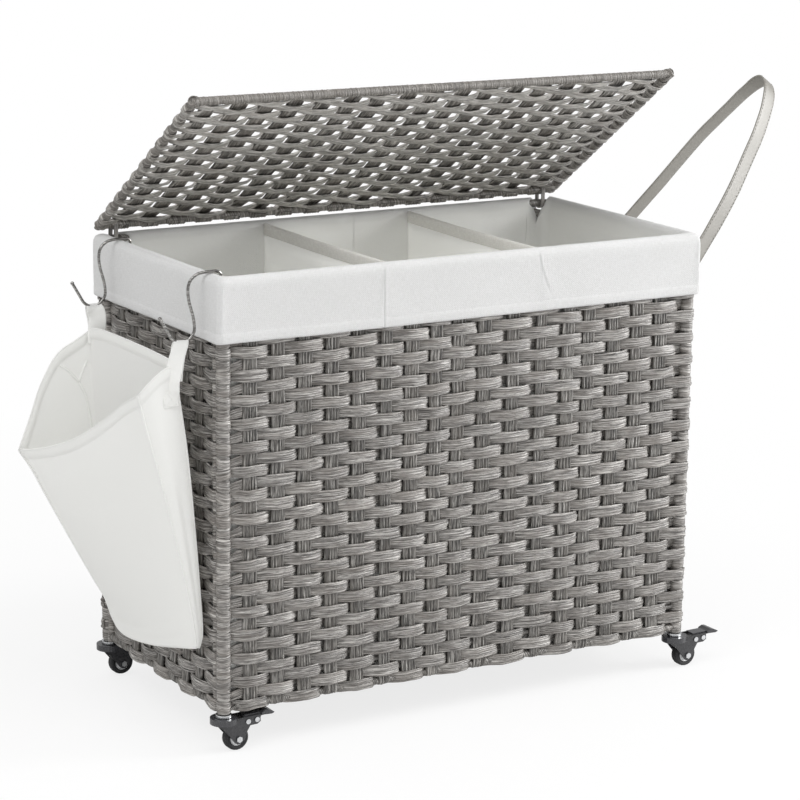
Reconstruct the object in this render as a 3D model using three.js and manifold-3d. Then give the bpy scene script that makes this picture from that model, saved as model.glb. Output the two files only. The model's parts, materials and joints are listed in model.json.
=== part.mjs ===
// Rolling laundry hamper cart: woven basket on a wire frame, hinged woven lid,
// three-section cloth liner, strap handle, hung side bag and four swivel casters.
//
// Millimetres. +X is right, the handle side; +Y is back, the hinge side; +Z is up.
// Origin: centre of the underside of the basket floor. Wheels touch z = -CASTER_H.
import * as THREE from 'three';
import { mergeVertices } from 'three/addons/utils/BufferGeometryUtils.js';
import Module from 'manifold-3d';

// ---------------------------------------------------------------- shared dimensions
const W = 660;                 // basket width over the weave
const D = 330;                 // basket depth over the weave
const RIM_Z = 512;             // top of the liner where it folds over the rim
const RAIL_TOP_Z = 505;        // rail heights are to the wire axis
const RAIL_MID_Z = 255;
const SIDE_RAIL_LOW_Z = 9;
const LONG_RAIL_LOW_Z = SIDE_RAIL_LOW_Z + 26;
const ROD_R = 3;               // frame wire radius
const POST_R = 7;              // corner tubes
const POST_X = 320.6;
const POST_Y = 155.6;
const LONG_ROD_Y = 156.6;      // front and back frame wires
const LONG_MID_X = 110;        // their intermediate wires, also in the floor and lid
const SIDE_ROD_X = 321.7;      // left and right frame wires
const SIDE_END_Y = 143;        // end wires of the side frames
const SIDE_MID_Y = 95;         // intermediate wires, which the strap hangs on
const CLOTH = 1.2;             // liner cloth, as sewn double
const SKIRT_GAP = 0.3;         // weave to folded-over skirt
const SKIRT_X = W / 2 + SKIRT_GAP + CLOTH;   // outer faces of the skirt
const SKIRT_Y = D / 2 + SKIRT_GAP + CLOTH;
const LOOP_X = 308.5;          // hinge loops and the notches they pass through
const STRAP_PIVOT_X = 342;     // strap rivets
const STRAP_PIVOT_Z = 420;
const PIVOT_HOLE_R = 2.3;
const ANCHOR_HALF_HEIGHT = 12;

// ---------------------------------------------------------------- materials
const standard = (settings) => new THREE.MeshStandardMaterial(settings);
const MATERIALS = {
  wire: standard({ color: 0x77736f, roughness: 0.6, metalness: 0.4 }),
  weave: standard({ color: 0x8b8681, roughness: 0.65 }),
  floor: standard({ color: 0x8b8681, roughness: 0.7 }),
  loop: standard({ color: 0x8b8681, roughness: 0.6 }),
  cloth: standard({ color: 0xeeeeec, roughness: 0.95 }),
  leather: standard({ color: 0x9a9791, roughness: 0.55 }),
  steel: standard({ color: 0xb9bbbd, roughness: 0.3, metalness: 0.9 }),
  insert: standard({ color: 0x1b1b1d, roughness: 0.5 }),
  fork: standard({ color: 0x1b1b1d, roughness: 0.25 }),
  pedal: standard({ color: 0x1b1b1d, roughness: 0.3 }),
  hub: standard({ color: 0xcfd0d0, roughness: 0.35, metalness: 0.3 }),
  tyre: standard({ color: 0x202022, roughness: 0.8 }),
};

// ---------------------------------------------------------------- solids
const wasm = await Module();
wasm.setup();

// three geometry to Manifold solid, welded so that it is watertight
function solid(source) {
  const bare = source.clone();
  bare.deleteAttribute('normal');
  bare.deleteAttribute('uv');
  const welded = mergeVertices(bare, 1e-4);
  return new wasm.Manifold(new wasm.Mesh({
    numProp: 3,
    vertProperties: new Float32Array(welded.attributes.position.array),
    triVerts: new Uint32Array(welded.index.array),
  }));
}

function geometry(manifold) {
  const mesh = manifold.getMesh();
  const positions = new Float32Array(mesh.numVert * 3);
  for (let i = 0; i < mesh.numVert; i++) {
    for (let k = 0; k < 3; k++) {
      positions[i * 3 + k] = mesh.vertProperties[i * mesh.numProp + k];
    }
  }
  const result = new THREE.BufferGeometry();
  result.setAttribute('position', new THREE.BufferAttribute(positions, 3));
  result.setIndex(new THREE.BufferAttribute(new Uint32Array(mesh.triVerts), 1));
  result.computeVertexNormals();
  return result;
}

// both take solids and arrays of solids
const join = (...parts) => parts.flat().reduce((sum, part) => sum.add(part));
const cut = (body, ...tools) => tools.flat().reduce((rest, tool) => rest.subtract(tool), body);

const vec = (x, y, z) => new THREE.Vector3(x, y, z);

function rod(from, to, radius, segments = 10) {
  const start = vec(...from);
  const end = vec(...to);
  const span = end.clone().sub(start);
  const cylinder = new THREE.CylinderGeometry(radius, radius, span.length(), segments);
  const turn = new THREE.Quaternion().setFromUnitVectors(vec(0, 1, 0), span.normalize());
  cylinder.applyQuaternion(turn);
  cylinder.translate((start.x + end.x) / 2, (start.y + end.y) / 2, (start.z + end.z) / 2);
  return solid(cylinder);
}

// rod along Y, centred on a point
const rodY = (x, y, z, half, radius, segments) =>
  rod([x, y - half, z], [x, y + half, z], radius, segments);

// shank along Y with a head at each end; head.from and head.to are measured from its middle
function headedPin(x, y, z, { shank, head }) {
  const { from, to } = head;
  return join(
    rodY(x, y, z, shank.half, shank.radius, shank.segments),
    [[-to, -from], [from, to]].map(([near, far]) =>
      rod([x, y + near, z], [x, y + far, z], head.radius, head.segments)));
}

function block(x0, x1, y0, y1, z0, z1) {
  const box = new THREE.BoxGeometry(x1 - x0, y1 - y0, z1 - z0);
  box.translate((x0 + x1) / 2, (y0 + y1) / 2, (z0 + z1) / 2);
  return solid(box);
}

const shape = (points) => new THREE.Shape(points.map(([x, y]) => new THREE.Vector2(x, y)));
const extrude = (points, depth) =>
  new THREE.ExtrudeGeometry(shape(points), { depth, bevelEnabled: false });
const axes = (x, y, z) => new THREE.Matrix4().makeBasis(vec(...x), vec(...y), vec(...z));

// outline in XY, thickness along Z
const prismZ = (points, z0, z1) => solid(extrude(points, z1 - z0).translate(0, 0, z0));
// outline in XZ, thickness along Y
const prismY = (points, y0, y1) => solid(extrude(points, y1 - y0)
  .applyMatrix4(axes([1, 0, 0], [0, 0, 1], [0, -1, 0]))
  .translate(0, y1, 0));
// outline in YZ, thickness along X
const prismX = (points, x0, x1) => solid(extrude(points, x1 - x0)
  .applyMatrix4(axes([0, 1, 0], [0, 0, 1], [1, 0, 0]))
  .translate(x0, 0, 0));

// points round a circle, or along an arc with both ends included; angles in degrees
function circle(centreX, centreY, radius, divisions, from = 0, to = 360) {
  const count = to - from >= 360 ? divisions : divisions + 1;
  return Array.from({ length: count }, (_, i) => {
    const angle = THREE.MathUtils.degToRad(from + (to - from) * i / divisions);
    return [centreX + radius * Math.cos(angle), centreY + radius * Math.sin(angle)];
  });
}

// rectangle of half sizes x and y with its corners cut off by c
const cutCornerRectangle = (x, y, c) => [
  [-x, -y + c], [-x + c, -y], [x - c, -y], [x, -y + c],
  [x, y - c], [x - c, y], [-x + c, y], [-x, y - c],
];

// ring turned about Y from an open profile of [radius, y]
function latheY(profile, segments) {
  const points = [...profile, profile[0]].map(([r, y]) => new THREE.Vector2(r, y));
  return solid(new THREE.LatheGeometry(points, segments));
}

// closed solid from corner points and outward triangles
function facets(points, faces) {
  const shell = new THREE.BufferGeometry();
  const positions = new Float32Array(points.flat());
  shell.setAttribute('position', new THREE.BufferAttribute(positions, 3));
  shell.setIndex(faces.flat());
  return solid(shell);
}

const cart = new THREE.Group();

function place(name, part, material, parent = cart, position = [0, 0, 0]) {
  const mesh = new THREE.Mesh(geometry(part), material);
  mesh.name = name;
  mesh.position.set(...position);
  parent.add(mesh);
}

// ---------------------------------------------------------------- basket frames
const POST_BORE_R = 5.5;
const POST_BORE_TOP_Z = 30;    // the tubes are bored from below only
const FLOOR_FRAME = { x: 307, y: 144, z: 8.4 };

const post = (x, y) => cut(
  rod([x, y, 0], [x, y, RAIL_TOP_Z + 3], POST_R, 16),
  rod([x, y, -1], [x, y, POST_BORE_TOP_Z], POST_BORE_R, 16));

// side: -1 front, +1 back
function longFrame(side) {
  const y = side * LONG_ROD_Y;
  return join(
    [-POST_X, POST_X].map((x) => post(x, side * POST_Y)),
    [LONG_RAIL_LOW_Z, RAIL_MID_Z, RAIL_TOP_Z].map((z) =>
      rod([-POST_X, y, z], [POST_X, y, z], ROD_R)),
    [-LONG_MID_X, LONG_MID_X].map((x) =>
      rod([x, y, LONG_RAIL_LOW_Z], [x, y, RAIL_TOP_Z], ROD_R)));
}

// side: -1 left, +1 right
function sideFrame(side) {
  const x = side * SIDE_ROD_X;
  return join(
    [-SIDE_END_Y, SIDE_END_Y].map((y) => rod([x, y, 4], [x, y, RAIL_TOP_Z + 2], ROD_R)),
    [SIDE_RAIL_LOW_Z, RAIL_MID_Z, RAIL_TOP_Z].map((z) =>
      rod([x, -SIDE_END_Y, z], [x, SIDE_END_Y, z], ROD_R)),
    [-SIDE_MID_Y, SIDE_MID_Y].map((y) =>
      rod([x, y, SIDE_RAIL_LOW_Z], [x, y, RAIL_TOP_Z], ROD_R)));
}

// wire rectangle with three cross wires, just above the floor panel
function floorFrame() {
  const { x: endX, y: endY, z } = FLOOR_FRAME;
  return join(
    [-endY, endY].map((y) => rod([-endX, y, z], [endX, y, z], ROD_R)),
    [-endX, -LONG_MID_X, 0, LONG_MID_X, endX].map((x) =>
      rod([x, -endY, z], [x, endY, z], ROD_R)));
}

place('front_frame', longFrame(-1), MATERIALS.wire);
place('back_frame', longFrame(1), MATERIALS.wire);
place('left_frame', sideFrame(-1), MATERIALS.wire);
place('right_frame', sideFrame(1), MATERIALS.wire);
place('base_frame', floorFrame(), MATERIALS.wire);

// ---------------------------------------------------------------- woven walls and floor
const LONG_PANEL_T = 4.7;      // front and back wall thickness
const SIDE_PANEL_T = 5;
const PANEL_Z = [3, 499];
const POST_GAP = 0.4;          // the walls reach to just short of the corner tubes
const WEAVE_X = POST_X - POST_R - POST_GAP;
const WEAVE_Y = POST_Y - POST_R - POST_GAP;
const FLOOR = { x: 312, y: 141, corner: 20, thickness: 5 };
const SLOT_HALF_WIDTH = 6;
const SLOT_HALF_HEIGHT = ANCHOR_HALF_HEIGHT + 2;

const longWall = (y0) => block(-WEAVE_X, WEAVE_X, y0, y0 + LONG_PANEL_T, ...PANEL_Z);
const sideWall = (x0) => block(x0, x0 + SIDE_PANEL_T, -WEAVE_Y, WEAVE_Y, ...PANEL_Z);
// cutters for the slots the handle anchors pass through
const anchorSlots = () => [-SIDE_MID_Y, SIDE_MID_Y].map((y) => block(
  W / 2 - 10, W / 2 + 10, y - SLOT_HALF_WIDTH, y + SLOT_HALF_WIDTH,
  STRAP_PIVOT_Z - SLOT_HALF_HEIGHT, STRAP_PIVOT_Z + SLOT_HALF_HEIGHT));
const floorPanel = () =>
  prismZ(cutCornerRectangle(FLOOR.x, FLOOR.y, FLOOR.corner), 0, FLOOR.thickness);

place('front_weave', longWall(-D / 2), MATERIALS.weave);
place('back_weave', longWall(D / 2 - LONG_PANEL_T), MATERIALS.weave);
place('left_weave', sideWall(-W / 2), MATERIALS.weave);
place('right_weave', cut(sideWall(W / 2 - SIDE_PANEL_T), anchorSlots()), MATERIALS.weave);
place('base_panel', floorPanel(), MATERIALS.floor);

// ---------------------------------------------------------------- liner
const TUB = { x: 316.5, y: 151.5, corner: 8.5, bottom: 12.6 };   // outside of the liner body
const CORNER_SHRINK = 0.59;    // cut corner lost per mm the outline is inset
const SKIRT_LOW_Z = 438;       // bottom hem of the folded-over skirt
const FOLD_T = 1.4;            // cloth over the rim
const DIVIDER_X = 104;         // the two cloth dividers
const DIVIDER_DROP = 3;        // divider tops below the rim
const NOTCH = { halfWidth: 13.5, depth: 30, y: [141.5, 170] };

// body and skirt, before hollowing
function linerBlank() {
  const { x, y, corner, bottom } = TUB;
  const hollowX = SKIRT_X - CLOTH;
  const hollowY = SKIRT_Y - CLOTH;
  const skirt = cut(
    block(-SKIRT_X, SKIRT_X, -SKIRT_Y, SKIRT_Y, SKIRT_LOW_Z, RIM_Z),
    block(-hollowX, hollowX, -hollowY, hollowY, SKIRT_LOW_Z - 1, RIM_Z - FOLD_T));
  return join(prismZ(cutCornerRectangle(x, y, corner), bottom, RIM_Z), skirt);
}

// cutters for the three sections and for the space above the dividers
function linerHollows() {
  const x = TUB.x - CLOTH;
  const y = TUB.y - CLOTH;
  const corner = TUB.corner - CLOTH * CORNER_SHRINK;
  const endFrom = DIVIDER_X + CLOTH / 2;
  const middleTo = DIVIDER_X - CLOTH / 2;
  const heights = [TUB.bottom + CLOTH, RIM_Z + 1];
  const endCell = (side) => [
    [side * endFrom, -y], [side * (x - corner), -y], [side * x, -y + corner],
    [side * x, y - corner], [side * (x - corner), y], [side * endFrom, y],
  ];
  const openX = x - corner - 1;
  return [
    prismZ(endCell(1), ...heights),
    prismZ(endCell(-1).reverse(), ...heights),
    block(-middleTo, middleTo, -y, y, ...heights),
    block(-openX, openX, -y, y, RIM_Z - DIVIDER_DROP, RIM_Z + 1),
  ];
}

// V cutter in the back rim, round a hinge loop
const notch = (x) => prismY([
  [x - NOTCH.halfWidth, RIM_Z + 1], [x, RIM_Z - NOTCH.depth], [x + NOTCH.halfWidth, RIM_Z + 1],
], ...NOTCH.y);

place('liner', cut(linerBlank(), linerHollows(), notch(LOOP_X), notch(-LOOP_X)),
  MATERIALS.cloth);

// ---------------------------------------------------------------- hinge loops
const LID_Z = 523;             // lid ring plane when shut, also the hinge axis
const LID_HINGE_Y = 158;
const LID_RING_R = 4;
const LOOP = { halfWidth: 4, reach: 2, clearance: 0.4 };   // reach: outside beyond the rods

// outline in YZ round the back top rail and the lid's hinge rod, standing off both by a margin
function loopOutline(margin) {
  const rise = Math.atan2(LID_HINGE_Y - LONG_ROD_Y, LID_Z - RAIL_TOP_Z);
  const lean = THREE.MathUtils.radToDeg(rise);
  return [
    ...circle(LID_HINGE_Y, LID_Z, LID_RING_R + margin, 12, -lean, 180 - lean),
    ...circle(LONG_ROD_Y, RAIL_TOP_Z, ROD_R + margin, 12, 180 - lean, 360 - lean),
  ];
}
function hingeLoop(x) {
  const slice = (margin, half) => prismX(loopOutline(margin), x - half, x + half);
  return cut(slice(LOOP.reach, LOOP.halfWidth), slice(LOOP.clearance, LOOP.halfWidth + 1));
}

place('hinge_loop_left', hingeLoop(-LOOP_X), MATERIALS.loop);
place('hinge_loop_right', hingeLoop(LOOP_X), MATERIALS.loop);

// ---------------------------------------------------------------- lid
const LID_REST_DEG = 35;       // lid shown part open
const LID_DEPTH = 310;         // ring axis to ring axis
const LID_X = 326;             // ring side wires
const LID_CROSS_R = 2;         // the two wires running front to back
const LID_CROSS_BORE_R = 2.35;
const LID_WEAVE = { gap: 0.6, back: -11, halfThickness: 3.4 };   // gap: ring to weave

// origin on the hinge axis; flat towards -Y when shut
const lid = new THREE.Group();
lid.position.set(0, LID_HINGE_Y, LID_Z);
lid.rotation.x = -THREE.MathUtils.degToRad(LID_REST_DEG);
cart.add(lid);

function lidFrame() {
  const endX = LID_X + 2;
  return join(
    rod([-endX, 0, 0], [endX, 0, 0], LID_RING_R, 16),
    rod([-endX, -LID_DEPTH, 0], [endX, -LID_DEPTH, 0], LID_RING_R, 12),
    [-LID_X, LID_X].map((x) => rod([x, -LID_DEPTH, 0], [x, 0, 0], LID_RING_R, 12)),
    [-LONG_MID_X, LONG_MID_X].map((x) => rod([x, -LID_DEPTH, 0], [x, 0, 0], LID_CROSS_R)));
}

// slab inside the ring, bored for the cross wires
function lidWeave() {
  const { gap, back, halfThickness } = LID_WEAVE;
  const x = LID_X - LID_RING_R - gap;
  const front = -LID_DEPTH + LID_RING_R + gap;
  return cut(
    block(-x, x, front, back, -halfThickness, halfThickness),
    [-LONG_MID_X, LONG_MID_X].map((cx) =>
      rod([cx, -LID_DEPTH - 10, 0], [cx, 10, 0], LID_CROSS_BORE_R)));
}

place('lid_frame', lidFrame(), MATERIALS.wire, lid);
place('lid_weave', lidWeave(), MATERIALS.weave, lid);

// ---------------------------------------------------------------- strap handle, right side
const ANCHOR_T = 1.7;
const ANCHOR_BORE_R = ROD_R + 0.4;
const ANCHOR_END_X = STRAP_PIVOT_X + 8;
const STRAP_W = 24;
const STRAP_T = 2.5;
const STRAP_LEAN_DEG = 36.5;   // strap plane, outward from vertical
const STRAP_DIVISIONS = 52;
const RIVET = {
  shank: { radius: 2, half: 6.9, segments: 14 },
  head: { radius: 4.2, from: 5.5, to: 7.6, segments: 16 },
};
// strap centre line in its own plane: [y, distance from the rivets]
const STRAP_PATH = [
  [-95, -9], [-95, 8], [-94.5, 40], [-92.5, 80], [-91, 107], [-87.5, 141],
  [-81.6, 176], [-76, 207], [-70, 240], [-59.5, 273], [-47, 299], [-36, 311],
  [-23, 317.5], [-8, 312], [6, 297], [16, 279.5], [30.8, 249.5], [44, 218],
  [62, 154], [79, 92], [90, 45], [94.6, 12], [95, -9],
];

// U bent round a side frame wire, its two legs reaching out past the rivet
function handleAnchor(y) {
  const inner = ANCHOR_BORE_R;
  const outer = inner + ANCHOR_T;
  const outline = [
    ...circle(SIDE_ROD_X, y, outer, 12, 90, 270),
    [ANCHOR_END_X, y - outer], [ANCHOR_END_X, y - inner],
    ...circle(SIDE_ROD_X, y, inner, 12, 90, 270).reverse(),
    [ANCHOR_END_X, y + inner], [ANCHOR_END_X, y + outer],
  ];
  return cut(
    prismZ(outline, STRAP_PIVOT_Z - ANCHOR_HALF_HEIGHT, STRAP_PIVOT_Z + ANCHOR_HALF_HEIGHT),
    rodY(STRAP_PIVOT_X, y, STRAP_PIVOT_Z, 10, PIVOT_HOLE_R, 12));
}

function handleStrap() {
  const path = new THREE.CatmullRomCurve3(STRAP_PATH.map(([y, s]) => vec(y, s, 0)));
  const left = [];
  const right = [];
  for (let i = 0; i <= STRAP_DIVISIONS; i++) {
    const point = path.getPointAt(i / STRAP_DIVISIONS);
    const tangent = path.getTangentAt(i / STRAP_DIVISIONS);
    const dx = tangent.y * STRAP_T / 2;
    const dy = tangent.x * STRAP_T / 2;
    left.push([point.x - dx, point.y + dy]);
    right.push([point.x + dx, point.y - dy]);
  }
  // plane axes: along Y, and up the lean; the strap's width runs across the plane
  const lean = THREE.MathUtils.degToRad(STRAP_LEAN_DEG);
  const sin = Math.sin(lean);
  const cos = Math.cos(lean);
  const band = extrude([...left, ...right.reverse()], STRAP_W)
    .translate(0, 0, -STRAP_W / 2)
    .applyMatrix4(axes([0, 1, 0], [sin, 0, cos], [cos, 0, -sin]))
    .translate(STRAP_PIVOT_X, 0, STRAP_PIVOT_Z);
  return cut(solid(band), rodY(STRAP_PIVOT_X, 0, STRAP_PIVOT_Z, 110, PIVOT_HOLE_R, 12));
}

for (const [name, y] of [['front', -SIDE_MID_Y], ['rear', SIDE_MID_Y]]) {
  place(`handle_anchor_${name}`, handleAnchor(y), MATERIALS.leather);
  place(`handle_rivet_${name}`, headedPin(STRAP_PIVOT_X, y, STRAP_PIVOT_Z, RIVET),
    MATERIALS.steel);
}
place('handle_strap', handleStrap(), MATERIALS.leather);

// ---------------------------------------------------------------- hooks and side bag, left side
// Measured from the skirt and rim: out is towards -X from the skirt's outer face,
// up is from the rim, so negative below it.
const fromRim = (out, y, up) => [-SKIRT_X - out, y, RIM_Z + up];

const HOOK_WIRE_R = 1.75;
const HOOK_BALL_R = 2.4;
const CRADLE = { out: 30, up: -59, radius: 16 };   // arc the bag tab hangs in
// hook wire centre line: [out, up]
const HOOK_PATH = [
  [-19.3, -30], [-19.3, -6], [-18.7, 0.6], [-13.8, 2.9], [-6, 2.8], [3, 2.7], [14, 1.8],
  [22, -2], [27, -9], [27.5, -17], [24.5, -30], [17.5, -48], [14.6, -57.5], [14.8, -64.5],
  ...circle(CRADLE.out, CRADLE.up, CRADLE.radius, 12, -135, -30),
  [48, -59.8], [56.4, -45.4],
];

function hook(y) {
  const points = HOOK_PATH.map(([out, up]) => vec(...fromRim(out, y, up)));
  const extrudePath = new THREE.CatmullRomCurve3(points, false, 'centripetal');
  const wire = new THREE.ExtrudeGeometry(shape(circle(0, 0, HOOK_WIRE_R, 8)),
    { extrudePath, steps: 46, bevelEnabled: false });
  const ball = ({ x, y: centreY, z }) =>
    solid(new THREE.SphereGeometry(HOOK_BALL_R, 8, 6).translate(x, centreY, z));
  return join(solid(wire), ball(points.at(-1)), ball(points[0]));
}

const TAB = { halfWidth: 10, bottom: -109, halfThickness: 3.6, hollowHalfThickness: 2.3 };
const TAB_WIRE_GAP = 0.4;
const TAB_T = 1.2;             // tab cloth above the wire

// tab outline in XZ; its top is an arc about the cradle's centre
function tabOutline(radius, halfWidth, bottom) {
  const points = [];
  for (let i = 0; i <= 10; i++) {
    const across = halfWidth * (1 - i / 5);
    points.push([across, CRADLE.up - Math.sqrt(radius * radius - across * across)]);
  }
  points.push([-halfWidth, bottom], [halfWidth, bottom]);
  return points.map(([across, up]) => {
    const [x, , z] = fromRim(CRADLE.out + across, 0, up);
    return [x, z];
  });
}

// cloth loop over the hook wire
function bagTab(y) {
  const { halfWidth, bottom, halfThickness, hollowHalfThickness } = TAB;
  const under = CRADLE.radius - HOOK_WIRE_R - TAB_WIRE_GAP;
  return cut(
    prismY(tabOutline(under - TAB_T, halfWidth, bottom), y - halfThickness, y + halfThickness),
    prismY(tabOutline(under, halfWidth + 2, bottom + 3),
      y - hollowHalfThickness, y + hollowHalfThickness));
}

// bag corners: [out, y, up]; top four, then the bottom corner below each
const BAG_OUTSIDE = [
  [40, -137, -109.4],          // top, skirt side, front
  [34, 105, -109.4],           // top, skirt side, rear
  [86, -137, -129],            // mouth, outer side, front
  [127, 105, -241],            // mouth, outer side, rear
  [9, -134, -440], [9, 102, -470], [21, -134, -438], [21, 102, -468],
];
const BAG_INSIDE = [
  [42, -135, -109.4], [36, 103, -109.4], [83, -135, -129], [123.6, 103, -241],
  [11, -132, -437], [11, 100, -467], [17.6, -132, -436], [17.6, 100, -466],
];
const BAG_FACES = [
  [0, 3, 2], [0, 1, 3], [0, 5, 1], [0, 4, 5], [2, 3, 6], [3, 7, 6],
  [0, 6, 4], [0, 2, 6], [1, 7, 3], [1, 5, 7], [4, 7, 5], [4, 6, 7],
];
const MOUTH_OVERRUN = 0.25;    // share of its height the hollow runs on through the mouth

function sideBag() {
  const hull = (corners) => facets(corners.map((corner) => fromRim(...corner)), BAG_FACES);
  const hollow = BAG_INSIDE.map((corner, i) => (i < 4
    ? corner.map((v, axis) => v + MOUTH_OVERRUN * (v - BAG_INSIDE[i + 4][axis]))
    : corner));
  return cut(hull(BAG_OUTSIDE), hull(hollow));
}

for (const [name, y] of [['front', -134], ['rear', 102]]) {
  place(`hook_${name}`, hook(y), MATERIALS.steel);
  place(`side_bag_tab_${name}`, bagTab(y), MATERIALS.cloth);
}
place('side_bag', sideBag(), MATERIALS.cloth);

// ---------------------------------------------------------------- casters
// Each stands in a group on its corner tube's axis, at z = 0; outlines are [x, z].
const CASTER_H = 46;
const WHEEL_R = 15;
const AXLE_X = 15;             // wheel axle's trail from the swivel axis
const AXLE_Z = -CASTER_H + WHEEL_R;
const CHEEK_Y = [7.4, 9.6];    // inner and outer face of a fork side plate
// end of the side plate; the braked one runs on to carry the pedal
const PLAIN_NOSE = [[22, -5.2], [28.5, -9], [29.5, -15]];
const BRAKED_NOSE = [[43, -5.2], [43.5, -13.6], [39, -16.4], [30, -16.6]];
const BRAKE_PINS = {
  inner: { x: 27, z: -11.4, holeRadius: 1.8 },
  outer: { x: 38.6, z: -10.6, holeRadius: 1.95 },
};
const AXLE = {
  shank: { radius: 2, half: 11.4, segments: 14 },
  head: { radius: 3.9, from: 9.9, to: 12.2, segments: 6 },
};
const BRAKE_PIN = {
  shank: { radius: 1.6, half: 10.6, segments: 12 },
  head: { radius: 3.1, from: 9.9, to: 11, segments: 14 },
};
// wheel profiles: [radius, y]
const HUB_PROFILE = [
  [2.4, -6.2], [5, -6.2], [5.6, -4], [8, -4], [9.2, -5.4],
  [9.2, 5.4], [8, 4], [5.6, 4], [5, 6.2], [2.4, 6.2],
];
const TYRE_PROFILE = [
  [9.5, -5.6], [12.6, -6], [14.5, -5], [WHEEL_R, -3.2],
  [WHEEL_R, 3.2], [14.5, 5], [12.6, 6], [9.5, 5.6],
];
const TOE_TOP = [[61.5, -5.6], [60.6, -4.6], [54, -1.6], [50, -1.2], [45, -3.6]];

// rod on the swivel axis
const swivelRod = (z0, z1, radius, segments) => rod([0, 0, z0], [0, 0, z1], radius, segments);

const casterInsert = () => cut(swivelRod(0.4, 26, 5.2, 16), swivelRod(-1, 27, 3.35, 14));

// stem with a collar under the tube and a small head below the fork's disc
const casterStem = () => join(
  swivelRod(-13.5, 23, 3, 14), swivelRod(-4, -0.6, 9.5, 20), swivelRod(-15.6, -13, 5, 14));

// disc on the swivel axis, two side plates falling to the axle, and a bridge between them
function casterFork(braked) {
  const cheek = [
    [-8, -6.5], ...(braked ? BRAKED_NOSE : PLAIN_NOSE), [25.5, -24], [22.6, -33.4],
    ...circle(AXLE_X, AXLE_Z, 6.5, 6, -30, -150),
    [4, -27], [-4, -17.5], [-10, -13], [-11, -9],
  ];
  const [near, far] = CHEEK_Y;
  const body = join(
    swivelRod(-11.6, -4.6, 16, 26),
    prismY(cheek, near, far),
    prismY(cheek, -far, -near),
    block(9, braked ? 21 : 24, -8, 8, -9.4, -6.6));
  const pinHoles = Object.values(BRAKE_PINS).map(({ x, z, holeRadius }) =>
    rodY(x, 0, z, 12, holeRadius, 12));
  return cut(body,
    braked ? pinHoles : [],
    swivelRod(-20, 0, 3.4, 16),
    rodY(AXLE_X, 0, AXLE_Z, 12, 2.35, 14));
}

// lever round the outer pin, lying over the fork's end, with a wider toe
function brakePedal() {
  const { x, z, holeRadius } = BRAKE_PINS.outer;
  const lever = [
    ...circle(x, z, 3.3, 8, 100, 300), [43.5, -12.4], [45.5, -8], [58, -7],
    ...TOE_TOP, [24, -3.9], [24, -5.6], [35.4, -5.8],
  ];
  const toe = [[45, -6.4], [58, -6.9], ...TOE_TOP];
  return cut(
    join(prismY(lever, -6.9, 6.9), prismY(toe, -10, 10)),
    rodY(x, 0, z, 12, holeRadius, 12));
}

function addCaster(name, sideX, sideY) {
  const braked = sideY < 0;    // the front pair
  const group = new THREE.Group();
  group.position.set(sideX * POST_X, sideY * POST_Y, 0);
  cart.add(group);
  const add = (part, shapeSolid, material, position) =>
    place(`${part}_${name}`, shapeSolid, material, group, position);
  const wheelCentre = [AXLE_X, 0, AXLE_Z];

  add('caster_insert', casterInsert(), MATERIALS.insert);
  add('caster_stem', casterStem(), MATERIALS.steel);
  add('caster_fork', casterFork(braked), MATERIALS.fork);
  add('caster_axle', headedPin(...wheelCentre, AXLE), MATERIALS.steel);
  add('wheel_hub', latheY(HUB_PROFILE, 18), MATERIALS.hub, wheelCentre);
  add('wheel_tyre', latheY(TYRE_PROFILE, 24), MATERIALS.tyre, wheelCentre);
  if (!braked) return;
  add('brake_pedal', brakePedal(), MATERIALS.pedal);
  for (const [label, { x, z }] of Object.entries(BRAKE_PINS)) {
    add(`brake_pin_${label}`, headedPin(x, 0, z, BRAKE_PIN), MATERIALS.steel);
  }
}

addCaster('fl', -1, -1);
addCaster('fr', 1, -1);
addCaster('bl', -1, 1);
addCaster('br', 1, 1);

export default cart;
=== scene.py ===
import math
import bpy
import numpy as np
from mathutils import Vector, Matrix
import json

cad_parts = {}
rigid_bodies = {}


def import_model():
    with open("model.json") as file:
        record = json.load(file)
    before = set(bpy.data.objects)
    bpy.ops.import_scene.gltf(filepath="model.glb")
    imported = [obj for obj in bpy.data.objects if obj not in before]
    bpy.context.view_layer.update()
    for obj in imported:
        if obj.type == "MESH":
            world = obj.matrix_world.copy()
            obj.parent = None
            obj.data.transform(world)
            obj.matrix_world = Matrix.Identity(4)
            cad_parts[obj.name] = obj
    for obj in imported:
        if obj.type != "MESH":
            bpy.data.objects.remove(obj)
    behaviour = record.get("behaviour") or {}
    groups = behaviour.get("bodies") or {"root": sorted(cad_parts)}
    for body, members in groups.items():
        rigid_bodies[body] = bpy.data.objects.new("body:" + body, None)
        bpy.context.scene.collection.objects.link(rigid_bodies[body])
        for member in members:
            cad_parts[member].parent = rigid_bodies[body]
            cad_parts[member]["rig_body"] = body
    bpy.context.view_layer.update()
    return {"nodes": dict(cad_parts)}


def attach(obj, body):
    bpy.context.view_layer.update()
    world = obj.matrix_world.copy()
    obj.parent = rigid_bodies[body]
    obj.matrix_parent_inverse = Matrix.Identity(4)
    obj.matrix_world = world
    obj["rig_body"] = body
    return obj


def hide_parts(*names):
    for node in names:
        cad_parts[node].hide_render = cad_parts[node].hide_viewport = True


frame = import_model()
NODES = frame["nodes"]
MM = 0.001
PI = math.pi


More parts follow.
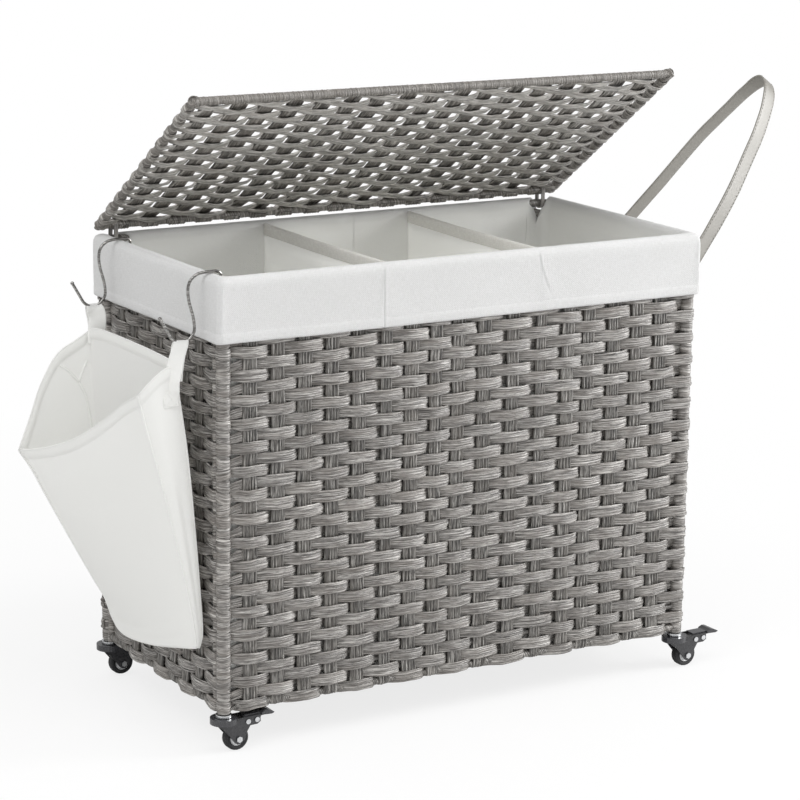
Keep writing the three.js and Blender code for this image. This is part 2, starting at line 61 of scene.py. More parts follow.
# ------------------------------------------------------------------ mesh building
class Soup:
    """Collects closed strands and sheets in millimetres, then becomes one mesh."""

    def __init__(self):
        self.v, self.q, self.t, self.a, self.n = [], [], [], [], 0

    def add(self, verts, quads, attr, tris=None):
        self.v.append(np.asarray(verts, float).reshape(-1, 3))
        self.q.append(np.asarray(quads, int).reshape(-1, 4) + self.n)
        if tris is not None and len(tris):
            self.t.append(np.asarray(tris, int).reshape(-1, 3) + self.n)
        self.a.append(np.asarray(attr, float).reshape(-1, 3))
        self.n += len(self.v[-1])

    def make(self, name, material, matrix=None, smooth=True):
        v = np.concatenate(self.v) * MM
        a = np.concatenate(self.a)
        q = np.concatenate(self.q) if self.q else np.zeros((0, 4), int)
        t = np.concatenate(self.t) if self.t else np.zeros((0, 3), int)
        me = bpy.data.meshes.new(name)
        me.vertices.add(len(v))
        me.vertices.foreach_set("co", v.astype(np.float32).ravel())
        me.loops.add(len(q) * 4 + len(t) * 3)
        me.loops.foreach_set("vertex_index", np.concatenate([q.ravel(), t.ravel()]).astype(np.int32))
        me.polygons.add(len(q) + len(t))
        starts = np.concatenate([np.arange(len(q)) * 4, len(q) * 4 + np.arange(len(t)) * 3])
        me.polygons.foreach_set("loop_start", starts.astype(np.int32))
        me.polygons.foreach_set("use_smooth", np.full(len(q) + len(t), smooth, dtype=bool))
        att = me.attributes.new("strand", "FLOAT_VECTOR", "POINT")
        att.data.foreach_set("vector", a.astype(np.float32).ravel())
        me.update(calc_edges=True)
        me.validate()
        me.materials.append(material)
        if matrix is not None:
            me.transform(matrix)
        ob = bpy.data.objects.new(name, me)
        bpy.context.scene.collection.objects.link(ob)
        return ob


def unit(a):
    return a / np.maximum(np.linalg.norm(a, axis=-1, keepdims=True), 1e-9)


def tangents(p):
    t = np.empty_like(p)
    t[1:-1] = p[2:] - p[:-2]
    t[0] = p[1] - p[0]
    t[-1] = p[-1] - p[-2]
    return unit(t)


def arc_length(p):
    return np.concatenate([[0], np.cumsum(np.linalg.norm(np.diff(p, axis=0), axis=1))])


def resample(points, step):
    """Catmull-Rom through the points, then even steps."""
    p = np.asarray(points, float)
    q = np.vstack([2 * p[0] - p[1], p, 2 * p[-1] - p[-2]])
    out = []
    for i in range(1, len(q) - 2):
        t = np.linspace(0, 1, 12, endpoint=False)[:, None]
        a, b, c, d = q[i - 1], q[i], q[i + 1], q[i + 2]
        out.append(0.5 * (2 * b + (c - a) * t + (2 * a - 5 * b + 4 * c - d) * t ** 2 + (3 * b - a - 3 * c + d) * t ** 3))
    out = np.vstack(out + [p[-1:]])
    s = arc_length(out)
    n = max(3, int(round(s[-1] / step)) + 1)
    k = np.linspace(0, s[-1], n)
    return np.stack([np.interp(k, s, out[:, j]) for j in range(out.shape[1])], 1)


def ribbon(soup, path, normal, side, profile, rnd, closed=False, scale=None, u0=0.0, profiles=None, drift=None):
    """A closed strand along a path. profile: ring of (across, out) in mm, anticlockwise seen along the path."""
    n, m = len(path), (profiles.shape[1] if profiles is not None else len(profile))
    pr = profiles if profiles is not None else np.broadcast_to(profile, (n, m, 2))
    if scale is not None:
        pr = pr * scale[:, None, :]
    v = path[:, None, :] + side[:, None, :] * pr[:, :, :1] + normal[:, None, :] * pr[:, :, 1:]
    if drift is not None:
        v = v + drift
    i = np.arange(n if closed else n - 1)
    j = np.arange(m)
    a = (i[:, None] * m + j[None, :])
    b = (i[:, None] * m + (j[None, :] + 1) % m)
    c = (((i[:, None] + 1) % n) * m + (j[None, :] + 1) % m)
    d = (((i[:, None] + 1) % n) * m + j[None, :])
    quads = np.stack([a, d, c, b], -1).reshape(-1, 4)
    s = arc_length(path) + u0
    half = np.abs(pr[0, :, 0]).max() + 1e-9
    attr = np.empty((n, m, 3))
    attr[:, :, 0] = s[:, None] * MM * 10
    attr[:, :, 1] = pr[:, :, 0] / half
    attr[:, :, 2] = rnd
    tris = None
    verts = v.reshape(-1, 3)
    at = attr.reshape(-1, 3)
    if not closed:
        c0, c1 = v[0].mean(0), v[-1].mean(0)
        k = n * m
        verts = np.vstack([verts, c0, c1])
        at = np.vstack([at, at[0], at[-1]])
        t0 = np.stack([np.full(m, k), j, (j + 1) % m], 1)
        e = (n - 1) * m
        t1 = np.stack([np.full(m, k + 1), e + (j + 1) % m, e + j], 1)
        tris = np.vstack([t0, t1])
    # keep the faces pointing out whatever way the frame of the path turns
    tan = tangents(path) if not closed else unit(np.roll(path, -1, 0) - np.roll(path, 1, 0))
    hand = float(np.mean(np.sum(np.cross(side, normal) * tan, 1)))
    if hand > 0:
        quads = quads[:, ::-1]
        if tris is not None:
            tris = tris[:, ::-1]
    soup.add(verts, quads, at, tris)


def strand_profile(width, thick, ribs, depth, crown, rng=None, bottom=3, groove=0.17):
    """Flat ribbed strand: flat-topped ribs with narrow grooves between them, flat back.
    Ring order: edge, then (shoulder, shoulder, groove) for each rib, last edge, then the back."""
    b = np.linspace(-1, 1, ribs + 1)
    lift = np.zeros(ribs)
    k = np.ones(ribs + 1)
    if rng is not None:
        b[1:-1] += rng.uniform(-0.2, 0.2, ribs - 1) * 2 / ribs
        lift = rng.uniform(-0.12, 0.12, ribs) * min(1.0, depth * 2)
        k = rng.uniform(0.25, 1.35, ribs + 1)
    g = groove * 2 / ribs
    pts = [(-1.0, thick * 0.05)]
    for i in range(ribs):
        for a in (b[i] + g, b[i + 1] - g):
            pts.append((a, thick / 2 + crown * (1 - a * a) + lift[i] - (0.12 * thick if abs(a) > 0.9 else 0.0)))
        if i < ribs - 1:
            pts.append((b[i + 1], thick / 2 + crown * (1 - b[i + 1] ** 2) - depth * k[i + 1]))
    pts.append((1.0, thick * 0.05))
    tp = np.array(pts) * np.array([width / 2, 1.0])
    q = np.linspace(0.93, -0.93, bottom)
    bt = np.stack([q * width / 2, np.full(bottom, -thick / 2)], 1)
    return np.vstack([tp, bt])


def smooth_noise(rng, n, step_len, scale, amp):
    """Smooth one-dimensional noise, seeded."""
    x = np.arange(n) * step_len / scale
    y = np.zeros(n)
    for f, g in ((1.0, 1.0), (2.3, 0.5), (4.7, 0.25)):
        y += g * np.sin(x * f * 2 * PI * rng.uniform(0.8, 1.2) + rng.uniform(0, 2 * PI))
    return amp * y / 1.3


# ------------------------------------------------------------------ materials
def new_material(name):
    m = bpy.data.materials.new(name)
    m.use_nodes = True
    nt = m.node_tree
    nt.nodes.clear()
    out = nt.nodes.new("ShaderNodeOutputMaterial")
    bsdf = nt.nodes.new("ShaderNodeBsdfPrincipled")
    nt.links.new(bsdf.outputs[0], out.inputs[0])
    return m, nt, bsdf


def node(nt, kind, **kw):
    n = nt.nodes.new(kind)
    for k, v in kw.items():
        if k.startswith("_"):
            setattr(n, k[1:], v)
    return n


def ramp(nt, stops):
    r = nt.nodes.new("ShaderNodeValToRGB")
    while len(r.color_ramp.elements) < len(stops):
        r.color_ramp.elements.new(0.5)
    for e, (p, c) in zip(r.color_ramp.elements, stops):
        e.position = p
        e.color = (c[0], c[1], c[2], 1.0) if not isinstance(c, float) else (c, c, c, 1.0)
    return r


def math_node(nt, op, a, b=None, clamp=False):
    n = nt.nodes.new("ShaderNodeMath")
    n.operation = op
    n.use_clamp = clamp
    for i, x in enumerate((a, b)):
        if x is None:
            continue
        if isinstance(x, (int, float)):
            n.inputs[i].default_value = x
        else:
            nt.links.new(x, n.inputs[i])
    return n.outputs[0]


def mix_rgb(nt, fac, a, b, blend="MIX"):
    n = nt.nodes.new("ShaderNodeMix")
    n.data_type = "RGBA"
    n.blend_type = blend
    for i, x in ((0, fac), (6, a), (7, b)):
        if isinstance(x, (int, float)):
            n.inputs[i].default_value = x
        elif isinstance(x, tuple):
            n.inputs[i].default_value = (*x, 1.0)
        else:
            nt.links.new(x, n.inputs[i])
    return n.outputs[2]


def srgb(r, g, b):
    f = lambda c: (c / 255 / 12.92) if c / 255 <= 0.04045 else ((c / 255 + 0.055) / 1.055) ** 2.4
    return (f(r), f(g), f(b))


def rattan_material(name, dark, mid, light, warm, rough=0.42, spec=0.5):
    """Extruded polyethylene strand: fine streaks along it, colour that drifts from strand to strand, soft gloss."""
    m, nt, bsdf = new_material(name)
    at = node(nt, "ShaderNodeAttribute", _attribute_name="strand")
    sep = nt.nodes.new("ShaderNodeSeparateXYZ")
    nt.links.new(at.outputs["Vector"], sep.inputs[0])
    u, v, r = sep.outputs
    rnd = math_node(nt, "MULTIPLY", r, 37.0)

    def streak(su, sv, detail, offset):
        c = nt.nodes.new("ShaderNodeCombineXYZ")
        nt.links.new(math_node(nt, "MULTIPLY", u, su), c.inputs[0])
        nt.links.new(math_node(nt, "MULTIPLY", v, sv), c.inputs[1])
        nt.links.new(math_node(nt, "ADD", rnd, offset), c.inputs[2])
        t = nt.nodes.new("ShaderNodeTexNoise")
        t.inputs["Scale"].default_value = 1.0
        t.inputs["Detail"].default_value = detail
        t.inputs["Roughness"].default_value = 0.62
        nt.links.new(c.outputs[0], t.inputs["Vector"])
        return t.outputs["Fac"]

    fine = streak(4.2, 7.5, 3.0, 0.0)
    broad = streak(1.6, 2.6, 2.0, 11.0)
    cloud = streak(0.8, 0.6, 1.0, 23.0)
    crack_n = streak(4.6, 4.2, 1.5, 41.0)
    crack = ramp(nt, [(0.0, 0.42), (0.022, 0.62), (0.05, 1.0)])
    nt.links.new(math_node(nt, "ABSOLUTE", math_node(nt, "SUBTRACT", crack_n, 0.5)), crack.inputs[0])
    r1 = ramp(nt, [(0.36, dark), (0.50, mid), (0.64, light)])
    s = math_node(nt, "ADD", math_node(nt, "MULTIPLY", fine, 0.72), math_node(nt, "MULTIPLY", broad, 0.28))
    nt.links.new(s, r1.inputs[0])
    grooved = mix_rgb(nt, 1.0, r1.outputs[0], crack.outputs[0], blend="MULTIPLY")
    w = ramp(nt, [(0.42, 0.0), (0.70, 1.0)])
    nt.links.new(cloud, w.inputs[0])
    wf = math_node(nt, "MULTIPLY", w.outputs[0], 0.4)
    col = mix_rgb(nt, wf, grooved, warm)
    wn = nt.nodes.new("ShaderNodeTexWhiteNoise")
    wn.noise_dimensions = "1D"
    nt.links.new(rnd, wn.inputs["W"])
    gain = math_node(nt, "ADD", math_node(nt, "MULTIPLY", wn.outputs["Value"], 0.26), 0.87)
    hsv = nt.nodes.new("ShaderNodeHueSaturation")
    nt.links.new(gain, hsv.inputs["Value"])
    nt.links.new(col, hsv.inputs["Color"])
    nt.links.new(hsv.outputs[0], bsdf.inputs["Base Color"])
    rr = math_node(nt, "ADD", math_node(nt, "MULTIPLY", fine, 0.22), rough - 0.11)
    nt.links.new(rr, bsdf.inputs["Roughness"])
    bsdf.inputs["Specular IOR Level"].default_value = spec
    bmp = nt.nodes.new("ShaderNodeBump")
    bmp.inputs["Strength"].default_value = 0.55
    bmp.inputs["Distance"].default_value = 0.0006
    nt.links.new(math_node(nt, "ADD", s, math_node(nt, "MULTIPLY", crack.outputs[0], 0.5)), bmp.inputs["Height"])
    nt.links.new(bmp.outputs[0], bsdf.inputs["Normal"])
    return m


def cloth_material(name, colour, shade, thread=0.9, bump=0.25, translucent=0.0, slub=1.0, inner=None, painted_glow=0.0):
    """Plain woven polyester-cotton: two thread directions from the attribute, slubs, faint creases, sheen."""
    m, nt, bsdf = new_material(name)
    at = node(nt, "ShaderNodeAttribute", _attribute_name="strand")
    sc = nt.nodes.new("ShaderNodeVectorMath")
    sc.operation = "SCALE"
    sc.inputs["Scale"].default_value = 1000.0 / thread
    nt.links.new(at.outputs["Vector"], sc.inputs[0])
    sep = nt.nodes.new("ShaderNodeSeparateXYZ")
    nt.links.new(sc.outputs[0], sep.inputs[0])
    su = math_node(nt, "SINE", math_node(nt, "MULTIPLY", sep.outputs[0], PI))
    sv = math_node(nt, "SINE", math_node(nt, "MULTIPLY", sep.outputs[1], PI))
    weave = math_node(nt, "MULTIPLY", su, sv)
    slubs = nt.nodes.new("ShaderNodeTexNoise")
    slubs.inputs["Scale"].default_value = 1.0
    slubs.inputs["Detail"].default_value = 3.0
    st = nt.nodes.new("ShaderNodeVectorMath")
    st.operation = "MULTIPLY"
    st.inputs[1].default_value = (160.0, 900.0, 160.0)
    nt.links.new(at.outputs["Vector"], st.inputs[0])
    nt.links.new(st.outputs[0], slubs.inputs["Vector"])
    cross = nt.nodes.new("ShaderNodeTexNoise")
    cross.inputs["Scale"].default_value = 1.0
    cross.inputs["Detail"].default_value = 2.0
    st2 = nt.nodes.new("ShaderNodeVectorMath")
    st2.operation = "MULTIPLY"
    st2.inputs[1].default_value = (900.0, 160.0, 160.0)
    nt.links.new(at.outputs["Vector"], st2.inputs[0])
    nt.links.new(st2.outputs[0], cross.inputs["Vector"])
    sl = math_node(nt, "ADD", slubs.outputs["Fac"], cross.outputs["Fac"])
    cloud = nt.nodes.new("ShaderNodeTexNoise")
    cloud.inputs["Scale"].default_value = 7.0
    cloud.inputs["Detail"].default_value = 2.0
    nt.links.new(at.outputs["Vector"], cloud.inputs["Vector"])
    f = math_node(nt, "ADD", math_node(nt, "MULTIPLY", sl, 0.55 * slub), math_node(nt, "MULTIPLY", cloud.outputs["Fac"], 0.4))
    r = ramp(nt, [(0.62, shade), (1.05 if False else 1.0, colour)])
    nt.links.new(f, r.inputs[0])
    base_col = r.outputs[0]
    if inner is not None:                    # the third attribute is 1 on the inside of the tub, where the cloth takes the brighter inner colour: painted light inside the tub
        sep0 = nt.nodes.new("ShaderNodeSeparateXYZ")
        nt.links.new(at.outputs["Vector"], sep0.inputs[0])
        base_col = mix_rgb(nt, sep0.outputs[2], base_col, inner)
    nt.links.new(base_col, bsdf.inputs["Base Color"])
    if painted_glow > 0:                             # painted light: emission in the cloth's own colour brightens it, standing in for light scattered on through thin cloth
        nt.links.new(base_col, bsdf.inputs["Emission Color"])
        bsdf.inputs["Emission Strength"].default_value = painted_glow
    bsdf.inputs["Roughness"].default_value = 0.92
    bsdf.inputs["Specular IOR Level"].default_value = 0.2
    bsdf.inputs["Sheen Weight"].default_value = 0.25
    bsdf.inputs["Sheen Roughness"].default_value = 0.5
    h = math_node(nt, "ADD", math_node(nt, "MULTIPLY", weave, 0.4), sl)
    bmp = nt.nodes.new("ShaderNodeBump")
    bmp.inputs["Strength"].default_value = bump
    bmp.inputs["Distance"].default_value = 0.0005
    nt.links.new(h, bmp.inputs["Height"])
    nt.links.new(bmp.outputs[0], bsdf.inputs["Normal"])
    if translucent > 0:
        out = [n for n in nt.nodes if n.type == "OUTPUT_MATERIAL"][0]
        tr = nt.nodes.new("ShaderNodeBsdfTranslucent")
        nt.links.new(r.outputs[0], tr.inputs[0])
        mx = nt.nodes.new("ShaderNodeMixShader")
        mx.inputs[0].default_value = translucent
        nt.links.new(bsdf.outputs[0], mx.inputs[1])
        nt.links.new(tr.outputs[0], mx.inputs[2])
        nt.links.new(mx.outputs[0], out.inputs[0])
    return m


def object_noise_material(name, dark, light, rough, metal=0.0, scale=60.0, stretch=(1, 1, 1), bump=0.1, spec=0.5, wear=None, coat=0.0, rough_var=0.15):
    """Moulded plastic, plated steel, rubber: mottled colour and roughness in object space, brighter worn edges."""
    m, nt, bsdf = new_material(name)
    tc = nt.nodes.new("ShaderNodeTexCoord")
    mp = nt.nodes.new("ShaderNodeMapping")
    mp.inputs["Scale"].default_value = stretch
    nt.links.new(tc.outputs["Object"], mp.inputs[0])
    t = nt.nodes.new("ShaderNodeTexNoise")
    t.inputs["Scale"].default_value = scale
    t.inputs["Detail"].default_value = 4.0
    nt.links.new(mp.outputs[0], t.inputs["Vector"])
    r = ramp(nt, [(0.32, dark), (0.68, light)])
    nt.links.new(t.outputs["Fac"], r.inputs[0])
    col = r.outputs[0]
    if wear is not None:
        geo = nt.nodes.new("ShaderNodeNewGeometry")
        e = ramp(nt, [(0.52, 0.0), (0.60, 1.0)])
        nt.links.new(geo.outputs["Pointiness"], e.inputs[0])
        col = mix_rgb(nt, math_node(nt, "MULTIPLY", e.outputs[0], 0.6), col, wear)
    nt.links.new(col, bsdf.inputs["Base Color"])
    bsdf.inputs["Metallic"].default_value = metal
    nt.links.new(math_node(nt, "ADD", math_node(nt, "MULTIPLY", t.outputs["Fac"], rough_var), rough - rough_var / 2), bsdf.inputs["Roughness"])
    bsdf.inputs["Specular IOR Level"].default_value = spec
    bsdf.inputs["Coat Weight"].default_value = coat
    bmp = nt.nodes.new("ShaderNodeBump")
    bmp.inputs["Strength"].default_value = bump
    bmp.inputs["Distance"].default_value = 0.0004
    nt.links.new(t.outputs["Fac"], bmp.inputs["Height"])
    nt.links.new(bmp.outputs[0], bsdf.inputs["Normal"])
    return m


M_RATTAN = rattan_material("rattan", srgb(70, 67, 64), srgb(144, 140, 136), srgb(226, 223, 218), srgb(132, 125, 118), rough=0.42, spec=0.45)
# stakes, rail wraps and base panel take a darker copy of the strand colours: painted shade
M_STAKE = rattan_material("rattan_stake", srgb(50, 48, 46), srgb(112, 109, 105), srgb(196, 193, 188), srgb(108, 102, 95), rough=0.42, spec=0.42)
# lid copies of the strand colours are lighter than the wall ones: painted light on the underside of the open lid; the
# lid stake copy stays darker than the lid strands, painted shade
M_LID = rattan_material("rattan_lid", srgb(104, 101, 97), srgb(186, 183, 178), srgb(244, 241, 236), srgb(176, 169, 161), rough=0.42, spec=0.5)
M_LID_STAKE = rattan_material("rattan_lid_stake", srgb(60, 57, 54), srgb(126, 122, 117), srgb(204, 200, 194), srgb(122, 115, 107), rough=0.46, spec=0.42)
# liner: the inside of the tub takes a brighter colour than the outside, painted light inside the tub
M_LINER = cloth_material("liner_cloth", srgb(231, 231, 231), srgb(218, 218, 217), thread=1.1, bump=0.8, inner=srgb(252, 252, 249), painted_glow=0.0)
# painted_glow on the dividers, hem and bag: painted light, emission that brightens the cloth inside the shaded tub and
# bag
M_DIVIDER = cloth_material("divider_cloth", srgb(252, 252, 248), srgb(246, 246, 242), thread=1.1, bump=0.6, painted_glow=0.16)
M_HEM = cloth_material("liner_hem", srgb(240, 239, 234), srgb(222, 220, 214), thread=1.1, bump=0.4, painted_glow=0.03)
M_BAG = cloth_material("bag_cloth", srgb(252, 252, 250), srgb(244, 244, 242), thread=0.8, bump=0.2, translucent=0.30, slub=0.7, painted_glow=0.11)
M_THREAD = cloth_material("sewing_thread", srgb(238, 237, 233), srgb(205, 204, 199), thread=0.5, bump=0.5)
M_STRAP = object_noise_material("strap_leather", srgb(130, 127, 120), srgb(142, 139, 132), 0.44, scale=700.0, bump=0.1, spec=0.5, wear=srgb(120, 117, 111), rough_var=0.15)
M_STRAP_THREAD = object_noise_material("strap_thread", srgb(96, 94, 89), srgb(140, 138, 132), 0.8, scale=2500.0, bump=0.5, spec=0.2)
M_STEEL = object_noise_material("hook_steel", srgb(92, 91, 89), srgb(186, 184, 181), 0.20, metal=1.0, scale=120.0, stretch=(1, 1, 6), bump=0.05)
M_CSTEEL = object_noise_material("caster_steel", srgb(150, 152, 154), srgb(205, 207, 208), 0.24, metal=1.0, scale=200.0, bump=0.05, wear=srgb(225, 226, 228))
M_BLACK = object_noise_material("caster_black", srgb(14, 14, 15), srgb(28, 28, 30), 0.28, scale=350.0, bump=0.12, spec=0.55, wear=srgb(70, 70, 74), coat=0.3)
M_WHEEL = object_noise_material("wheel_grey", srgb(222, 223, 224), srgb(242, 243, 244), 0.32, scale=300.0, bump=0.08)
M_TYRE = object_noise_material("tyre", srgb(24, 24, 25), srgb(44, 44, 46), 0.6, scale=700.0, bump=0.35, spec=0.4)
M_WIRE = object_noise_material("frame_wire", srgb(96, 93, 90), srgb(124, 121, 117), 0.45, metal=0.0, scale=220.0, bump=0.1, spec=0.5, wear=srgb(160, 158, 154))
M_INSERT = object_noise_material("insert_plastic", srgb(28, 28, 30), srgb(44, 44, 46), 0.5, scale=400.0, bump=0.1)

# ------------------------------------------------------------------ woven walls
ROW_PITCH = 13.88
ROW_Z = [22.15 + ROW_PITCH * r for r in range(-1, 35)]
WEAVE_D = {"long": 159.7, "side": 324.6}
AMP = 4.7
POST = (320.6, 155.6)
LOOP_XX = 308.5
SIDE_POST = (321.7, 143.0)


def place(wall):
    """(along, out) to (x, y) for each wall, turned about Z so that faces keep pointing out."""
    return {
        "front": lambda a, d: (a, -d),
        "back": lambda a, d: (-a, d),
        "left": lambda a, d: (-d, -a),
        "right": lambda a, d: (d, a),
    }[wall]


def to_world(wall, a, d, z):
    x, y = place(wall)(a, d)
    return np.stack([x, y, z * np.ones_like(x)], -1)


# height of a strand, from +1 at its crest to -1 under the next stake, against the share of the way there:
# one side comes up in a long straight flank, the other dives late and steeply, as the pull of the weaver leaves it
DIVE_T = np.array([0, 0.08, 0.18, 0.29, 0.40, 0.50, 0.57, 0.62, 0.665, 0.71, 0.77, 0.87])
DIVE_H = np.array([1, 0.99, 0.93, 0.83, 0.69, 0.50, 0.27, -0.04, -0.44, -0.77, -0.92, -0.985])
FLANK_T = np.array([0, 0.08, 0.17, 0.28, 0.40, 0.52, 0.64, 0.74, 0.81, 0.88, 0.94])
FLANK_H = np.array([1, 0.985, 0.90, 0.72, 0.49, 0.25, 0.00, -0.22, -0.44, -0.74, -0.93])


def weave_row(anchors):
    """anchors: (along, out) pairs. Returns the path through them."""
    a_out, d_out = [], []
    for (a0, d0), (a1, d1) in zip(anchors[:-1], anchors[1:]):
        if d0 >= d1:
            t = DIVE_T
            d = d1 + (d0 - d1) * (DIVE_H + 1) / 2
        else:
            t = np.concatenate([[0], (1 - FLANK_T)[::-1][:-1]])
            h = np.concatenate([[-1.0], FLANK_H[::-1][:-1]])
            d = d0 + (d1 - d0) * (h + 1) / 2
        a_out.append(a0 + (a1 - a0) * t)
        d_out.append(d)
    a_out.append([anchors[-1][0]])
    d_out.append([anchors[-1][1]])
    return np.concatenate(a_out), np.concatenate(d_out)


def wall_strands(wall, stakes, plane, ends, seed, rows=ROW_Z, parity=0, post_wrap=True):
    """Wefts of one wall. ends: (low along, high along, post out, post radius)."""
    rng = np.random.default_rng(seed)
    soup = Soup()
    lo, hi, post_d, post_r = ends
    for r, z in enumerate(rows):
        over_first = (r + parity) % 2 == 0          # over the first stake, behind the end post
        amp = AMP * rng.uniform(0.92, 1.06)
        anchors = []
        s = 1 if over_first else -1
        for i, a in enumerate(stakes):
            k = s if i % 2 == 0 else -s
            anchors.append((a + rng.uniform(-1.2, 1.2), plane + k * amp * (1.0 if k > 0 else 1.12)))
        last_over = (s if (len(stakes) - 1) % 2 == 0 else -s) > 0
        post_a, post_dd = [], []
        # both rows of a pair leave the near post from its side, the one that dives first comes up from below
        anchors.insert(0, (lo + 6.2, post_d - (1.2 if over_first else 0.6)))
        if last_over:
            anchors.append((hi - 6.2, post_d - 1.4))
        else:
            anchors.append((hi - 1.0, post_d + post_r))
            if post_wrap:
                ang = np.radians(np.linspace(88, -25, 12))
                post_a, post_dd = hi + post_r * np.cos(ang), post_d + post_r * np.sin(ang)
        a, d = weave_row(anchors)
        if not over_first:
            # the flank of this strand stays out until it dives under the first stake
            m_ = len(DIVE_T) if anchors[0][1] >= anchors[1][1] else len(FLANK_T)
            k_ = np.arange(m_) / m_
            d[:m_] = anchors[0][1] + 3.4 * np.sin(PI * np.clip(k_ * 0.86, 0, 1)) - (anchors[0][1] - anchors[1][1]) * np.clip((k_ - 0.62) / 0.38, 0, 1) ** 1.4
        a = np.concatenate([a, post_a])
        d = np.concatenate([d, post_dd])
        n = len(a)
        zz = z + smooth_noise(rng, n, 2.9, 95.0, 0.6) + rng.uniform(-0.35, 0.35)
        near = np.clip((stakes[0] - 9.0 - a) / (stakes[0] - 9.0 - lo - 6.2), 0, 1)
        if wall in ("left", "right"):
            near = near * 0.1
        zz = zz - near ** 1.2 * (4.2 if not over_first else -0.6)
        path = to_world(wall, a, d, zz)
        flat = np.stack([a, d], 1)
        tan = tangents(flat)
        nrm2 = np.stack([-tan[:, 1], tan[:, 0]], 1)         # outward when running along +a
        x, y = place(wall)(nrm2[:, 0], nrm2[:, 1])
        normal = unit(np.stack([x, y, np.zeros(n)], 1))
        up = np.tile([0.0, 0.0, 1.0], (n, 1))
        twist = smooth_noise(rng, n, 2.9, 60.0, 0.10) + rng.uniform(-0.03, 0.03)
        ct, st = np.cos(twist)[:, None], np.sin(twist)[:, None]
        nn = normal * ct + up * st
        ss = up * ct - normal * st
        prof = strand_profile(13.8 * rng.uniform(0.98, 1.04), 2.1, int(rng.choice([4, 5, 5, 6])), 0.85, 0.3, rng, groove=0.12)
        width = 1.0 + smooth_noise(rng, n, 2.9, 50.0, 0.035)
        # the strand bunches up a little where it dives behind a stake
        bunch = 1 - 0.07 * np.clip((plane - d) / amp, 0, 1)
        bunch = bunch * (1 - near * (0.28 if not over_first else 0.18))
        sc = np.stack([width * bunch, 1 + 0.25 * np.clip((plane - d) / amp, 0, 1)], 1)
        # every rib turns in at its own point, which leaves the ends of the turns ragged
        nb = 7
        x_ = prof[:, 0]
        k_ = np.clip(((x_ - x_.min()) / (x_.max() - x_.min()) * nb).astype(int), 0, nb - 1)
        lag = np.stack([smooth_noise(rng, n, 2.9, 40.0, 1.0) for _ in range(nb)], 1)
        lag = np.clip(lag, -1.5, 1.5)[:, k_]
        ax_, ay_ = place(wall)(np.array([1.0]), np.array([0.0]))
        along_ = unit(np.array([[float(ax_[0]), float(ay_[0]), 0.0]]))[0]
        ribbon(soup, path, nn, ss, prof, rng.uniform(0, 1), scale=sc, u0=rng.uniform(0, 400), drift=lag[:, :, None] * along_)
    return soup


def wall_stakes(wall, stakes, widths, plane, seed, top=498.0, low=6.0, foot=None):
    """Upright strands: wide, with deep uneven ribs. foot: (out, z, radius) of the rail they fold round."""
    rng = np.random.default_rng(seed)
    soup = Soup()
    for a0, w in zip(stakes, widths):
        z = np.linspace(top, low + 8, 66)
        d = np.full(len(z), plane)
        if foot is not None:
            ang = np.linspace(0, PI * 1.15, 10)
            zc, rr = foot[1], foot[2]
            z = np.concatenate([np.linspace(top, zc + 3, 64), zc - rr * np.sin(ang)])
            d = np.concatenate([np.linspace(plane, foot[0] + rr, 64)[:1].repeat(56), np.linspace(plane, foot[0] + rr, 8), foot[0] + rr * np.cos(ang)])
        n = len(z)
        a = a0 + smooth_noise(rng, n, 7.6, 120.0, 0.5)
        path = to_world(wall, a, d, z)
        tan = tangents(path)
        x, y = place(wall)(np.array([1.0]), np.array([0.0]))
        side = np.tile([x[0], y[0], 0.0], (n, 1))
        normal = unit(np.cross(side, tan))
        ox, oy = place(wall)(np.array([0.0]), np.array([1.0]))
        if np.dot(normal[5], [ox[0], oy[0], 0.0]) < 0:
            normal = -normal
        ribs = 5 if w > 18.2 else 4
        base = strand_profile(w, 3.4, ribs, 0.0, 0.3, groove=0.17)
        m = len(base)
        prof = np.repeat(base[None], n, 0)
        for i in range(ribs):
            up_ = smooth_noise(rng, n, 7.6, 24.0, 0.18) + rng.uniform(-0.15, 0.15)
            prof[:, 1 + 3 * i, 1] += up_
            prof[:, 2 + 3 * i, 1] += up_
            if i < ribs - 1:
                k = 3 + 3 * i
                dep = rng.uniform(1.0, 2.4) * (1 + smooth_noise(rng, n, 7.6, 26.0, 0.45))
                prof[:, k, 1] -= np.clip(dep, 0.3, 2.6)
                drift = smooth_noise(rng, n, 7.6, 44.0, 0.34) + rng.uniform(-0.4, 0.4)
                open_ = 0.16 * rng.uniform(0.2, 1.6)
                prof[:, k - 1, 0] += drift - open_
                prof[:, k, 0] += drift
                prof[:, k + 1, 0] += drift + open_
        ribbon(soup, path, normal, side, None, rng.uniform(0, 1), u0=rng.uniform(0, 400), profiles=prof)
    return soup


def post_bands(centres, radius, rows, seed, width=13.6, seg=22, tilt=1.1, ribs=5, depth=0.35):
    """Strand wrapped round an upright, one turn for each row."""
    rng = np.random.default_rng(seed)
    soup = Soup()
    for cx, cy in centres:
        for z in rows:
            ang = np.linspace(0, 2 * PI, seg, endpoint=False)
            ph = rng.uniform(0, 2 * PI)
            t = tilt * rng.uniform(0.4, 1.4)
            rr = radius + rng.uniform(-0.12, 0.12) + (0.5 if int(round((z - ROW_Z[0]) / ROW_PITCH)) % 2 == 0 else 0.0)
            path = np.stack([cx + rr * np.cos(ang), cy + rr * np.sin(ang), z + t * np.sin(ang + ph)], 1)
            normal = np.stack([np.cos(ang), np.sin(ang), np.zeros(seg)], 1)
            up = np.tile([0.0, 0.0, 1.0], (seg, 1))
            prof = strand_profile(width, 1.1, ribs, depth, 0.3, rng)
            ribbon(soup, path, normal, up, prof, rng.uniform(0, 1), closed=True)
    return soup


